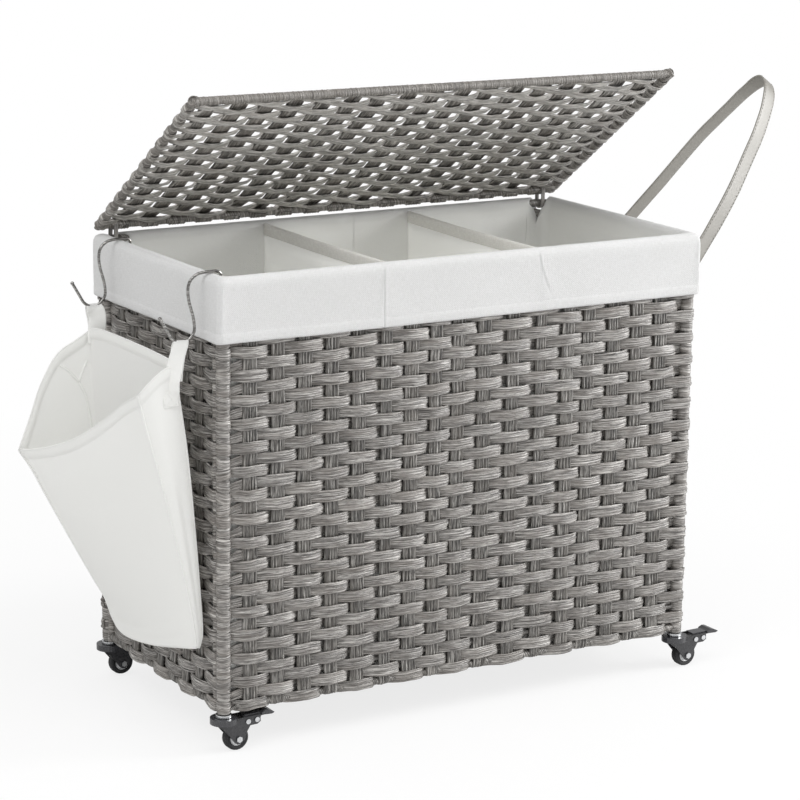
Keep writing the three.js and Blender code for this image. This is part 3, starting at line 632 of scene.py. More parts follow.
def rail_wrap(soup, p0, p1, radius, seed, width=12.0, seg=14, depth=0.4, bumps=None, ribs=5, thick=1.6):
    """Strand wound in a tight spiral round a rail from p0 to p1."""
    rng = np.random.default_rng(seed)
    p0, p1 = np.array(p0, float), np.array(p1, float)
    length = np.linalg.norm(p1 - p0)
    ax = (p1 - p0) / length
    ref = np.array([0, 0, 1.0]) if abs(ax[2]) < 0.9 else np.array([1.0, 0, 0])
    e1 = unit(np.cross(ax, ref)[None])[0]
    e2 = np.cross(ax, e1)
    turns = length / (width * 0.98)
    n = int(turns * seg) + 1
    th = np.linspace(0, 2 * PI * turns, n)
    s = np.linspace(0, length, n)
    r = radius + smooth_noise(rng, n, 1.0, seg * 1.7, 0.16)
    if bumps is not None:
        r = r + bumps(s)
    radial = np.cos(th)[:, None] * e1 + np.sin(th)[:, None] * e2
    path = p0 + ax * s[:, None] + radial * r[:, None]
    tan = tangents(path)
    side = unit(np.cross(tan, radial))
    prof = strand_profile(width, thick, ribs, depth, 0.3, rng)
    ribbon(soup, path, radial, side, prof, rng.uniform(0, 1))


# stake positions of the long walls, uneven as hand weaving leaves them
LONG_STAKES = np.array([-289, -253, -218, -182, -147, -110, -76, -43, -12, 24, 64, 104, 143, 173, 210, 244, 279], float)
LONG_WIDTHS = np.array([19, 18, 18.5, 18, 18.5, 15, 19, 17, 18, 19, 18, 15, 18, 17, 18.5, 18, 18.5])
SIDE_STAKES = np.array([-104, -70, -36, -2, 32, 66, 100], float)
SIDE_WIDTHS = np.array([16, 17, 16.5, 17, 16, 17, 16])

pieces = {}
for wall, stakes, widths, seed in (("front", LONG_STAKES, LONG_WIDTHS, 11), ("back", -LONG_STAKES[::-1], LONG_WIDTHS[::-1], 23)):
    wefts = wall_strands(wall, stakes, WEAVE_D["long"], (-POST[0], POST[0], POST[1], 8.1), seed).make(wall + "_wall_strands", M_RATTAN)
    uprights = wall_stakes(wall, stakes, widths, WEAVE_D["long"], seed + 1, foot=(157.0, 8.0, 4.6)).make(wall + "_wall_stakes", M_STAKE)
    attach(wefts, "basket"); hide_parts(wall + "_weave")
    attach(uprights, "basket")
for wall, seed in (("left", 37), ("right", 41)):
    st = -SIDE_STAKES[::-1] if wall == "left" else SIDE_STAKES
    wefts = wall_strands(wall, st, WEAVE_D["side"], (-SIDE_POST[1], SIDE_POST[1], SIDE_POST[0], 6.0), seed, parity=1).make(wall + "_wall_strands", M_RATTAN)
    uprights = wall_stakes(wall, st, SIDE_WIDTHS, WEAVE_D["side"], seed + 1, foot=(322.0, 9.0, 4.8)).make(wall + "_wall_stakes", M_STAKE)
    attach(wefts, "basket"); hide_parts(wall + "_weave")
    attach(uprights, "basket")

corner = post_bands([(sx * POST[0], sy * POST[1]) for sx in (-1, 1) for sy in (-1, 1)], 7.2, ROW_Z, 51).make("corner_post_wraps", M_RATTAN)
side_p = post_bands([(sx * SIDE_POST[0], sy * SIDE_POST[1]) for sx in (-1, 1) for sy in (-1, 1)], 4.6, ROW_Z, 53, seg=16, depth=0.3, ribs=4).make("side_post_wraps", M_RATTAN)
soup = Soup()
for sy in (-1, 1):
    rail_wrap(soup, (-312, sy * 157.2, 7.6), (312, sy * 157.2, 7.6), 3.6, 61 + sy)
    rail_wrap(soup, (-312, sy * 157.6, 505), (312, sy * 157.6, 505), 4.0, 65 + sy)
for sx in (-1, 1):
    rail_wrap(soup, (sx * 322.4, -140, 8.6), (sx * 322.4, 140, 8.6), 4.0, 71 + sx)
    rail_wrap(soup, (sx * 321.9, -140, 505), (sx * 321.9, 140, 505), 4.0, 75 + sx)
rails = soup.make("rail_wraps", M_STAKE)
for o in (corner, side_p, rails):
    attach(o, "basket")

# ------------------------------------------------------------------ lid
LID_M = Matrix.Translation((0, 0.158, 0.523)) @ Matrix.Rotation(math.radians(-35), 4, "X")


def two_sided_profile(width, thick, ribs, depth, rng=None):
    """Ribbed on both faces, for the open lid, which shows its underside."""
    n = ribs * 2 + 1
    a = np.linspace(-1, 1, n)
    valley = (np.arange(n) % 2 == 0) * depth
    k1 = np.ones(n) if rng is None else rng.uniform(0.4, 1.4, n)
    k2 = np.ones(n) if rng is None else rng.uniform(0.4, 1.4, n)
    top = np.stack([a * width / 2, thick / 2 - valley * k1], 1)
    top[0, 1] = top[-1, 1] = 0.0
    bot = np.stack([a[::-1][1:-1] * width / 2, -thick / 2 + (valley * k2)[::-1][1:-1]], 1)
    return np.vstack([top, bot])


def lid_strands(seed):
    rng = np.random.default_rng(seed)
    soup, stakes_s = Soup(), Soup()
    xs = np.linspace(-299, 299, 17) + rng.uniform(-1.5, 1.5, 17)
    rows = [-10.5 - 13.75 * k for k in range(22)]
    for r, y in enumerate(rows):
        s = 1 if r % 2 == 0 else -1
        amp = 4.0 * rng.uniform(0.95, 1.05)
        jit = xs + rng.uniform(-1.5, 1.5, 17)
        anchors = [(-320, -s * 4.4)] + [(x, (s if i % 2 == 0 else -s) * amp) for i, x in enumerate(jit)] + [(320, -s * 4.4)]
        a, d = weave_row([(q, -w_) for q, w_ in anchors])
        d = -d
        # each pair of rows is one strand that hooks round the side wire
        ang = np.radians(np.linspace(215, 100, 9))
        pa, pd = -326 + 5.6 * np.cos(ang), -s * 5.6 * np.sin(ang)
        a = np.concatenate([pa, a[1:-1], -pa[::-1]])
        d = np.concatenate([pd, d[1:-1], pd[::-1]])
        n = len(a)
        toward_l = (-6.875 if r % 2 == 0 else 6.875)
        toward_r = (6.875 if r % 2 == 0 else -6.875) if 0 < r < 21 else 0.0
        ease = lambda q: np.clip(q, 0, 1) ** 1.5
        yy = y + smooth_noise(rng, n, 3.8, 90.0, 0.8)
        yy = yy + toward_l * 0.72 * ease((-296 - a) / 22) + toward_r * 0.72 * ease((a - 296) / 22)
        path = np.stack([a, yy, d], 1)
        tan = tangents(np.stack([a, d], 1))
        normal = np.stack([-tan[:, 1], np.zeros(n), tan[:, 0]], 1)
        side = np.tile([0.0, 1.0, 0.0], (n, 1))
        # strands turn on edge a little and bunch between the stakes
        ph = np.interp(a, jit, np.arange(17) * PI, left=0.0, right=16 * PI)
        mid_gap = np.sin(ph) ** 2
        tw = smooth_noise(rng, n, 3.8, 70.0, 0.14) + 0.30 * mid_gap * rng.choice([-1, 1]) * np.where(rng.uniform(0, 1) < 0.5, 1.0, 0.4)
        ct, st = np.cos(tw)[:, None], np.sin(tw)[:, None]
        prof = two_sided_profile(10.8, 2.3, 4, 0.8, rng)
        pinch = 1 - 0.20 * mid_gap - 0.34 * ease((np.abs(a) - 300) / 20)
        ribbon(soup, path, normal * ct + side * st, side * ct - normal * st, prof, rng.uniform(0, 1), scale=np.stack([pinch, 1 + 0.3 * mid_gap], 1), u0=rng.uniform(0, 300))
    for x in xs:
        e0 = np.linspace(-PI * 0.75, PI / 2, 10)
        e1 = np.linspace(0, PI * 1.2, 11)
        e1 = e1 * 0.45
        y = np.concatenate([5.6 * np.cos(e0), np.linspace(-4, -303, 44), -307 - 2.4 * np.sin(e1)])
        z = np.concatenate([5.6 * np.sin(e0), np.full(44, 0.0), 0.4 + 2.4 * np.cos(e1)])
        z[10:16] = np.linspace(5.0, 0, 6)
        z[48:54] = np.linspace(0, 2.4, 6)
        n = len(y)
        path = np.stack([x + smooth_noise(rng, n, 7, 110, 0.8), y, z], 1)
        tan = tangents(path)
        side = np.tile([1.0, 0.0, 0.0], (n, 1))
        normal = unit(np.cross(side, tan))
        if normal[24, 2] < 0:
            normal = -normal
        ribs = 6
        base = two_sided_profile(22.6, 2.8, ribs, 0.0)
        prof = np.repeat(base[None], n, 0)
        m_ = prof.shape[1]
        for k in range(1, m_):
            if k == ribs * 2:
                continue
            j = k if k < ribs * 2 else m_ - (k - ribs * 2) + ribs * 0
            edge = (k % 2 == 0)
            if edge:
                dep = np.clip(rng.uniform(0.5, 1.25) * (1 + smooth_noise(rng, n, 7, 30, 0.4)), 0.2, 1.25)
                prof[:, k, 1] -= np.sign(base[k, 1]) * dep
            prof[:, k, 0] += smooth_noise(rng, n, 7, 40, 0.22)
        ribbon(stakes_s, path, normal, side, None, rng.uniform(0, 1), u0=rng.uniform(0, 300), profiles=prof)
    return soup, stakes_s


def clear_of_hook(soup):
    """The strands lie flatter where the shut lid rests over the front bag hook."""
    for v in soup.v:
        m = (np.abs(v[:, 1] + 292.0) < 8.0) & (v[:, 0] < -290.0) & (v[:, 2] < -5.7)
        v[m, 2] = -5.7


lid_wefts, lid_stakes = lid_strands(91)
clear_of_hook(lid_wefts)
lid_w = lid_wefts.make("lid_strands", M_LID, LID_M)
lid_s = lid_stakes.make("lid_stakes", M_LID_STAKE, LID_M)
soup = Soup()
scallop = lambda s: -0.3 + 1.9 * np.clip(np.sin(2 * PI * (s - 14.5) / 27.5), 0, 1) ** 0.7
rail_wrap(soup, (-326, 4, 0), (-326, -313, 0), 4.4, 101, width=5.6, bumps=scallop, ribs=2, seg=12, thick=1.1)
rail_wrap(soup, (326, 4, 0), (326, -313, 0), 4.4, 102, width=5.6, bumps=scallop, ribs=2, seg=12, thick=1.1)
rail_wrap(soup, (-326, -310, 0), (326, -310, 0), 4.35, 103, width=3.5, ribs=2, seg=10, thick=1.0, depth=0.3)
rail_wrap(soup, (-326, 0, 0), (326, 0, 0), 4.5, 104, width=9.5, ribs=4, depth=0.7, thick=1.2)
for sx in (-1, 1):                       # the corners are bound over
    for yy0 in (-310.0, 0.0):
        cen = np.array([sx * 326.0, yy0, 0.0])
        for k, (dx, dy) in enumerate(((0.0, 0.0), (-sx * 2.0, 1.6 if yy0 < -1 else -1.6))):
            ang = np.linspace(0, 2 * PI, 16, endpoint=False)
            ax = unit(np.array([[1.0 * sx, (1.0 if yy0 > -1 else -1.0) * (1 if k == 0 else -1), 0.15]]))[0]
            e1_ = unit(np.cross(ax, [0, 0, 1.0])[None])[0]
            e2_ = np.cross(ax, e1_)
            rad_ = np.cos(ang)[:, None] * e1_ + np.sin(ang)[:, None] * e2_
            ribbon(soup, cen + np.array([dx, dy, 0]) + rad_ * (5.0 + 0.6 * k), rad_, np.tile(ax, (16, 1)), strand_profile(9.0, 1.6, 4, 0.4, 0.3), 0.37 + 0.2 * k, closed=True)
clear_of_hook(soup)
lid_r = soup.make("lid_rim_wraps", M_LID_STAKE, LID_M)
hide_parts("lid_weave")
for o in (lid_w, lid_s, lid_r):
    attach(o, "lid")


# ------------------------------------------------------------------ hinge ties: a strand looped round both rails
for name, sx in (("left", -1), ("right", 1)):
    y0, z0, y1, z1 = 156.6, 505.0, 158.0, 523.0
    soup = Soup()
    for k, off in enumerate((0.0,)):
        r_ = 6.0
        up_ = np.linspace(0, PI, 12)
        loop = [(y1 + r_ * math.cos(t), z1 + r_ * math.sin(t)) for t in up_] + [(y0 - r_ * math.cos(t), z0 - r_ * math.sin(t)) for t in up_]
        loop = np.array(loop + loop[:1])
        ss_ = arc_length(loop)
        kk = np.linspace(0, ss_[-1], 49)[:-1]
        yz_ = np.stack([np.interp(kk, ss_, loop[:, 0]), np.interp(kk, ss_, loop[:, 1])], 1)
        xx = sx * LOOP_XX + off + 1.2 * np.sin(np.linspace(0, 2 * PI, 48, endpoint=False) + k)
        path = np.stack([xx, yz_[:, 0], yz_[:, 1]], 1)
        tan = unit(np.roll(path, -1, 0) - np.roll(path, 1, 0))
        side = np.tile([1.0, 0, 0], (48, 1))
        nrm_ = unit(np.cross(side, tan))
        cen = path.mean(0)
        if np.dot(nrm_[5], path[5] - cen) < 0:
            nrm_ = -nrm_
        ribbon(soup, path, nrm_, side, strand_profile(5.6, 1.4, 3, 0.35, 0.25), 0.3 + 0.3 * k, closed=True)
    ob = soup.make("hinge_tie_" + name, M_RATTAN)
    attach(ob, NODES["hinge_loop_" + name]["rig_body"]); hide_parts("hinge_loop_" + name)


# ------------------------------------------------------------------ cloth sheets
def sheet(soup, grid, attr=None, wrap_u=False, flip=False):
    """grid (n, m, 3) in mm as one open sheet."""
    n, m = grid.shape[:2]
    i = np.arange(n if wrap_u else n - 1)
    j = np.arange(m - 1)
    a = i[:, None] * m + j[None, :]
    b = a + 1
    d = ((i[:, None] + 1) % n) * m + j[None, :]
    c = d + 1
    q = np.stack([a, b, c, d], -1).reshape(-1, 4)
    if flip:
        q = q[:, ::-1]
    if attr is None:
        uu = np.concatenate([[0], np.cumsum(np.linalg.norm(np.diff(grid[:, m // 2], axis=0), axis=1))])
        vv = np.concatenate([[0], np.cumsum(np.linalg.norm(np.diff(grid[n // 2], axis=0), axis=1))])
        attr = np.zeros((n, m, 3))
        attr[:, :, 0] = uu[:, None] * MM
        attr[:, :, 1] = vv[None, :] * MM
    soup.add(grid.reshape(-1, 3), q, attr.reshape(-1, 3))


def solidify(ob, thickness, offset=0.0):
    md = ob.modifiers.new("cloth", "SOLIDIFY")
    md.thickness = thickness * MM
    md.offset = offset
    md.use_even_offset = False
    return ob


def rounded_rect(hx, hy, rad, step):
    """Points and outward normals round a rounded rectangle, anticlockwise from the middle of the front side."""
    pts, nrm, s = [], [], []
    corners = [(hx - rad, -hy + rad, -PI / 2), (hx - rad, hy - rad, 0), (-hx + rad, hy - rad, PI / 2), (-hx + rad, -hy + rad, PI)]
    cur = np.array([0.0, -hy])
    for cx, cy, a0 in corners:
        start = np.array([cx + rad * math.cos(a0), cy + rad * math.sin(a0)])
        n = max(1, int(round(np.linalg.norm(start - cur) / step)))
        d = (start - cur) / n
        nn = np.array([math.cos(a0), math.sin(a0)])
        for k in range(n):
            pts.append(cur + d * k); nrm.append(nn)
        for k in range(7):
            a = a0 + (PI / 2) * k / 7
            pts.append(np.array([cx + rad * math.cos(a), cy + rad * math.sin(a)])); nrm.append(np.array([math.cos(a), math.sin(a)]))
        a = a0 + PI / 2
        cur = np.array([cx + rad * math.cos(a), cy + rad * math.sin(a)])
    end = np.array([0.0, -hy])
    n = max(1, int(round(np.linalg.norm(end - cur) / step)))
    for k in range(n):
        pts.append(cur + (end - cur) / n * k); nrm.append(np.array([0.0, -1.0]))
    return np.array(pts), np.array(nrm)


def fbm2(u, v, seed, scale):
    """Smooth seeded two-dimensional noise from a few plane waves."""
    rng = np.random.default_rng(seed)
    y = np.zeros(np.broadcast(u, v).shape)
    for k in range(14):
        a = rng.uniform(0, 2 * PI)
        f = rng.uniform(0.5, 2.2) / scale
        y = y + np.sin(2 * PI * f * (u * math.cos(a) + v * math.sin(a)) + rng.uniform(0, 2 * PI)) / (0.6 + f * scale)
    return y / 5.0


LOOP_X = 308.5


def build_liner():
    def loop(hx, hy, rad):
        """Rounded rectangle with the same number of points on each stretch, from the middle of the front side."""
        cs = [(hx - rad, -hy + rad, -PI / 2), (hx - rad, hy - rad, 0.0), (-hx + rad, hy - rad, PI / 2), (-hx + rad, -hy + rad, PI)]
        counts = (100, 92, 200, 92, 100)
        span = hx - rad
        first = np.unique(np.concatenate([np.linspace(0, 1, 100, endpoint=False), np.arange(86.0, 108.0, 0.8) / 323.0]))
        last = np.unique(np.concatenate([np.linspace(0, 1, 100, endpoint=False), 1 - np.arange(110.0, 121.0, 0.8) / 323.0]))
        back_ = np.unique(np.concatenate([np.linspace(0, 1, 200, endpoint=False), 0.5 + np.concatenate([np.arange(286.0, 322.0, 1.2), -np.arange(286.0, 322.0, 1.2)]) / 646.0]))
        fracs = (first, np.linspace(0, 1, 92, endpoint=False), back_, np.linspace(0, 1, 92, endpoint=False), last)
        p, nn, cur = [], [], np.array([0.0, -hy])
        for (cx, cy, a0), c_ in zip(cs, counts[:4]):
            st_ = np.array([cx + rad * math.cos(a0), cy + rad * math.sin(a0)])
            for q in fracs[cs.index((cx, cy, a0))]:
                p.append(cur + (st_ - cur) * q); nn.append((math.cos(a0), math.sin(a0)))
            for q in range(10):
                a_ = a0 + PI / 2 * q / 10
                p.append(np.array([cx + rad * math.cos(a_), cy + rad * math.sin(a_)])); nn.append((math.cos(a_), math.sin(a_)))
            cur = np.array([cx + rad * math.cos(a0 + PI / 2), cy + rad * math.sin(a0 + PI / 2)])
        for q in fracs[4]:
            p.append(cur + (np.array([0.0, -hy]) - cur) * q); nn.append((0.0, -1.0))
        # begin behind, where the ends of the cloth's pattern meet
        cut = len(p) // 2
        return np.roll(np.array(p), -cut, axis=0), np.roll(np.array(nn), -cut, axis=0)

    p_in, n_in = loop(315.9, 151.3, 10.5)
    p_out, n_out = loop(332.6, 167.6, 6.5)
    pts, nrm = (p_in + p_out) / 2, unit(n_in + n_out)
    n = len(pts)
    s = np.concatenate([[0], np.cumsum(np.linalg.norm(np.diff(pts, axis=0), axis=1))])
    # profile: (out, z) from deep inside, over the rim, down to the hem and a folded edge
    inner = [(-7.4, z) for z in (12.6, 60, 120, 180, 240, 300, 350, 400, 440, 470, 490)]
    arc = [(-7.3, 500), (-7.0, 506), (-5.6, 509.8), (-3.0, 511.6), (0.5, 512.2), (4.2, 511.4), (7.0, 508.6), (8.2, 504.5)]
    zs = np.concatenate([np.linspace(499, 452, 15), [450.6, 450.0, 449.4, 448.8]])
    outer = [(8.6, z) for z in zs]
    hem = [(8.7, 447.5), (8.75, 444), (8.75, 441), (8.6, 438.8), (8.1, 437.8), (7.4, 438.8), (7.2, 442.0)]
    prof = np.array(inner + arc + outer + hem)
    m = len(prof)
    o = np.repeat(prof[None, :, 0], n, 0)
    z = np.repeat(prof[None, :, 1], n, 0)
    u = np.repeat(s[:, None], m, 1)
    whole = s[-1] + np.linalg.norm(pts[0] - pts[-1])

    def around_noise(uu, vv, seed, scale):
        w_ = uu / whole
        return (1 - w_) * fbm2(uu, vv, seed, scale) + w_ * fbm2(uu - whole, vv, seed, scale)

    # soft unevenness of hand-fitted cloth, more towards the hem, none at the rim
    outside = (np.arange(m) >= len(inner) + len(arc) - 1)
    low = np.clip((512 - z) / 74.0, 0, 1)
    bumps = around_noise(u, z, 5, 95.0) * 1.1 * low + around_noise(u, z * 0.35, 6, 30.0) * 0.35 * low
    o = o + np.where(outside[None, :], bumps * (0.4 + 0.6 * low), 0.0)
    z = z + np.where(outside[None, :], around_noise(u, z * 0 + 3.0, 8, 160.0) * 0.7 * low, 0.0)
    ins = ~outside & (np.arange(m) < len(inner))
    o = o + np.where(ins[None, :], -np.abs(around_noise(u, z, 12, 120.0)) * 2.0 * np.clip((505 - z) / 60, 0, 1), 0.0)
    z = z + np.where((np.arange(m) >= len(inner) - 1)[None, :] & (np.arange(m) < len(inner) + len(arc))[None, :], around_noise(u, u * 0, 9, 70.0) * 0.35, 0)
    # hem stitch line pulls the cloth in
    line = np.exp(-((z - 450.0) / 0.8) ** 2) * outside[None, :]
    o = o - 0.28 * line
    x0, y0 = pts[:, 0], pts[:, 1]
    # vertical seams on the front, one straight and one with a slight curve, and one on each other side
    for side_y, xa, xb in ((-1, -115.5, -115.0), (-1, 90.0, 104.2), (1, -100.0, -101.0), (1, 112.0, 112.0)):
        t = np.clip((514 - z) / 50.0, 0, 1.4)
        xs = xa + (xb - xa) * t ** 1.6
        near = np.exp(-((x0[:, None] - xs) / 1.0) ** 2) * (np.sign(y0[:, None]) == side_y) * outside[None, :]
        o = o - 0.8 * near
        lip = np.exp(-((x0[:, None] - xs - 2.4) / 1.6) ** 2) * (np.sign(y0[:, None]) == side_y) * outside[None, :]
        o = o + 0.45 * lip
    # the notches at the back where the hinge loops pass
    for xc in (-LOOP_X, LOOP_X):
        dx = np.abs(x0 - xc)
        dip = np.clip(1 - dx / 14.0, 0, 1) * (y0 > 100)
        dip = dip[:, None] * 30.0
        f = np.clip((z - 440.0) / 72.0, 0, 1) ** 1.2
        z = z - dip * f
    P = np.zeros((n, m, 3))
    share = np.clip((prof[:, 0] + 7.4) / 16.0, 0, 1)[None, :, None]
    flat = p_in[:, None, :] * (1 - share) + p_out[:, None, :] * share
    extra = o - np.clip(prof[None, :, 0], -7.4, 8.6)
    P[:, :, 0] = flat[:, :, 0] + nrm[:, 0, None] * extra
    P[:, :, 1] = flat[:, :, 1] + nrm[:, 1, None] * extra
    P[:, :, 2] = z
    soup = Soup()
    attr = np.zeros((n, m, 3))
    attr[:, :, 0] = u * MM
    pv = np.concatenate([[0], np.cumsum(np.linalg.norm(np.diff(prof, axis=0), axis=1))])
    attr[:, :, 1] = pv[None, :] * MM
    # third attribute marks the rows inside the tub, which the cloth shader paints brighter: painted light
    attr[:, :, 2] = np.clip((14.5 - np.arange(m)) / 4.0, 0, 1)[None, :]
    sheet(soup, P, attr, wrap_u=True, flip=True)
    ob = soup.make("liner_cloth", M_LINER)
    solidify(ob, 1.1, 0.0)
    return ob


liner = build_liner()
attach(liner, "basket"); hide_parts("liner")


def build_dividers():
    """Two double-cloth dividers with a stitched band along the top, and the liner's floor."""
    band, body = Soup(), Soup()
    for k, xc in enumerate((-104.0, 104.0)):
        y = np.linspace(-151.4, 151.4, 70)
        zt = 509.0 - 1.2 * np.sin(PI * (y + 151.4) / 302.8)
        for sd in (-1, 1):
            fr = np.concatenate([np.linspace(0, 1, 26)])
            z = 12.8 + (zt[:, None] - 13.0 - 12.8) * fr[None, :]
            yy = np.repeat(y[:, None], len(fr), 1)
            edge = np.sin(PI * np.clip((yy + 151.4) / 302.8, 0, 1)) ** 0.5
            x = xc + fbm2(yy, z, 31 + k, 150.0) * 5.0 * edge * np.sin(PI * np.clip(fr, 0, 1))[None, :] ** 0.6 + sd * (0.9 + 0.4 * edge)
            g = np.stack([x, yy, z], -1)
            sheet(body, g, flip=(sd > 0))
        # top band, folded over
        ring = [(-1.9, -13.6), (-2.1, -12.9), (-2.0, -6.0), (-2.0, -1.4), (-1.2, 0.1), (0.0, 0.5), (1.2, 0.1), (2.0, -1.4), (2.0, -6.0), (2.1, -12.9), (1.9, -13.6)]
        ring = np.array(ring)
        dips = 0.45 * np.exp(-((ring[:, 1] + 11.4) / 0.5) ** 2)
        g = np.zeros((len(y), len(ring), 3))
        wob = fbm2(y, y * 0, 41 + k, 160.0) * 1.0 * np.sin(PI * (y + 151.4) / 302.8)
        g[:, :, 0] = xc + wob[:, None] + ring[None, :, 0]
        g[:, :, 1] = y[:, None]
        g[:, :, 2] = zt[:, None] + ring[None, :, 1]
        sheet(band, g, flip=True)
    d = body.make("liner_dividers", M_DIVIDER)
    solidify(d, 0.7, 0.0)
    b = band.make("liner_divider_bands", M_HEM)
    solidify(b, 0.8, 0.0)
    fl = Soup()
    x = np.linspace(-316, 316, 80)
    y = np.linspace(-151, 151, 40)
    X, Y = np.meshgrid(x, y, indexing="ij")
    Z = 13.4 + np.abs(fbm2(X, Y, 77, 90.0)) * 1.6
    sheet(fl, np.stack([X, Y, Z], -1), flip=True)
    f = fl.make("liner_floor", M_LINER)
    solidify(f, 0.9, 0.0)
    return d, b, f


for o in build_dividers():
    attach(o, "basket")


# ------------------------------------------------------------------ side bag
BAG_X = -331.5


def curve(points, n):
    p = resample(np.array(points, float), 2.0)
    s = arc_length(p)
    k = np.linspace(0, s[-1], n)
    return np.stack([np.interp(k, s, p[:, j]) for j in range(3)], 1)


def coons(c_top, c_bottom, c_left, c_right):
    """Patch between four edge curves: top and bottom run along u, left and right run along v."""
    n, m = len(c_top), len(c_left)
    u = np.linspace(0, 1, n)[:, None, None]
    v = np.linspace(0, 1, m)[None, :, None]
    T, B, L, R = c_top[:, None, :], c_bottom[:, None, :], c_left[None], c_right[None]
    s = (1 - v) * T + v * B + (1 - u) * L + u * R
    s = s - ((1 - u) * (1 - v) * c_top[0] + u * (1 - v) * c_top[-1] + (1 - u) * v * c_bottom[0] + u * v * c_bottom[-1])
    return s


# edges of the bag in (out, y, z): mouth corners, outer corners, bottom corners
E_FO = [(86, -137, -129), (74, -137.5, -176), (58, -137, -232), (39, -136, -305), (24, -135, -368), (15, -134, -415), (12, -132, -436)]
E_FB = [(40, -136, -100), (34, -136, -140), (24, -135, -205), (15, -134, -290), (8, -133.5, -372), (5, -133, -418), (8, -131, -437)]
E_RO = [(127, 105, -241), (110, 106, -267), (92.5, 106, -301), (60, 105.5, -362), (32.5, 104, -413), (20.5, 100, -436), (18, 84, -458)]
E_RB = [(35, 105, -106), (30, 106, -170), (24, 106, -235), (17, 105, -315), (10, 103, -388), (8, 98, -434), (9, 84, -457)]
E_MO = [(86, -137, -129), (84, -95, -148), (87, -50, -175), (96, 10, -208), (110, 62, -229), (127, 105, -241)]
E_MR = [(35, 105, -106), (53, 106, -117), (75, 107, -131), (96, 107, -166), (110, 106.5, -202), (127, 105, -241)]
E_MF = [(40, -136, -100), (54, -138.5, -102), (71, -139, -113), (86, -137, -129)]
E_MB = [(40, -136, -100), (36, -110, -97.5), (34, -30, -97), (34, 60, -97.5), (34.5, 92, -100), (35, 105, -106)]
E_CO = [(12, -132, -436), (15, -100, -444), (16, -30, -461), (17, 30, -470), (17.5, 64, -469), (18, 84, -458)]
E_CB = [(8, -131, -437), (8, -100, -443), (7, -30, -460), (8, 30, -469), (8.5, 64, -468), (9, 84, -457)]


def bag_world(g):
    out = g.copy()
    out[..., 0] = BAG_X - g[..., 0]
    out[..., 2] = 512 + g[..., 2]
    return out


def patch_normals(g):
    du = np.gradient(g, axis=0)
    dv = np.gradient(g, axis=1)
    return unit(np.cross(du, dv))


def build_bag():
    nv = 56
    fo, fb, ro, rb = (curve(e, nv) for e in (E_FO, E_FB, E_RO, E_RB))
    nl, ng = 44, 16
    mo, mb = curve(E_MO, nl), curve(E_MB, nl)
    co, cb = curve(E_CO, nl), curve(E_CB, nl)
    mf, mr = curve(E_MF, ng), curve(E_MR, ng)
    cf = curve([E_CB[0], ((np.array(E_CB[0]) + np.array(E_CO[0])) / 2).tolist(), E_CO[0]], ng)
    cr = curve([E_CB[-1], ((np.array(E_CB[-1]) + np.array(E_CO[-1])) / 2).tolist(), E_CO[-1]], ng)
    outer = coons(mo, co, fo, ro)          # u front to rear, v down
    back = coons(mb, cb, fb, rb)
    front = coons(mf, cf, fb, fo)          # u back to outer
    rear = coons(mr, cr, rb, ro)
    bottom = coons(cb, co, cf, cr)         # u front to rear, v back to outer
    v = np.linspace(0, 1, nv)[None, :]

    def dome(n):
        u = np.linspace(0, 1, n)[:, None]
        return (np.sin(PI * u) ** 0.8) * np.sin(PI * np.clip(v * 0.86 + 0.07, 0, 1)) ** 0.7

    U, V = np.meshgrid(np.linspace(0, 240, nl), np.linspace(0, 330, nv), indexing="ij")
    nrm = patch_normals(outer); sgn = 1 if nrm[nl // 2, nv // 2, 0] > 0 else -1
    outer = outer + nrm * sgn * (7.0 * dome(nl) + 1.3 * fbm2(U, V, 61, 120.0) * dome(nl))[..., None]
    nrm = patch_normals(back); sgn = 1 if nrm[nl // 2, nv // 2, 0] > 0 else -1
    back = back - nrm * sgn * (3.0 * dome(nl) * (1 - v * 0.8) + 1.0 * fbm2(U, V, 62, 110.0) * dome(nl))[..., None]
    # gussets: the rear one creases inwards in a Y, the front one stays nearly flat
    ug = np.linspace(0, 1, ng)[:, None]
    crease = np.exp(-((ug - 0.42) / 0.16) ** 2)
    nrm = patch_normals(rear); sgn = 1 if nrm[ng // 2, nv // 2, 1] > 0 else -1
    prof = np.clip((v - 0.22) / 0.25, 0, 1) * (1 - v) ** 0.35
    rear = rear + nrm * sgn * (6.0 * dome(ng) * (1 - prof * 0.5) - 9.0 * crease * prof * np.sin(PI * v) ** 0.5)[..., None]
    nrm = patch_normals(front); sgn = 1 if nrm[ng // 2, nv // 2, 1] < 0 else -1
    front = front + nrm * sgn * (3.0 * dome(ng) - 2.5 * crease * np.sin(PI * v))[..., None]
    soup = Soup()
    for g, want, off in ((outer, "x", 0.0), (back, "-x", 0.4), (front, "-y", 0.8), (rear, "y", 1.2)):
        w = bag_world(g)
        nn = patch_normals(w)
        mid = nn[nn.shape[0] // 2, nn.shape[1] // 2]
        good = {"x": mid[0] < 0, "-x": mid[0] > 0, "-y": mid[1] < 0, "y": mid[1] > 0}[want]
        n, m = w.shape[:2]
        attr = np.zeros((n, m, 3))
        attr[:, :, 0] = off + np.linspace(0, arc_length(w[:, m // 2])[-1], n)[:, None] * MM
        attr[:, :, 1] = off + np.linspace(0, arc_length(w[n // 2])[-1], m)[None, :] * MM
        sheet(soup, w, attr, flip=good)
    w = bag_world(bottom)
    mid = patch_normals(w)[w.shape[0] // 2, w.shape[1] // 2]
    sheet(soup, w, flip=(mid[2] < 0))
    ob = soup.make("side_bag_cloth", M_BAG)
    return ob, (fo, fb, ro, rb, mo, mb, mf, mr, co, cb, outer, back, front, rear)


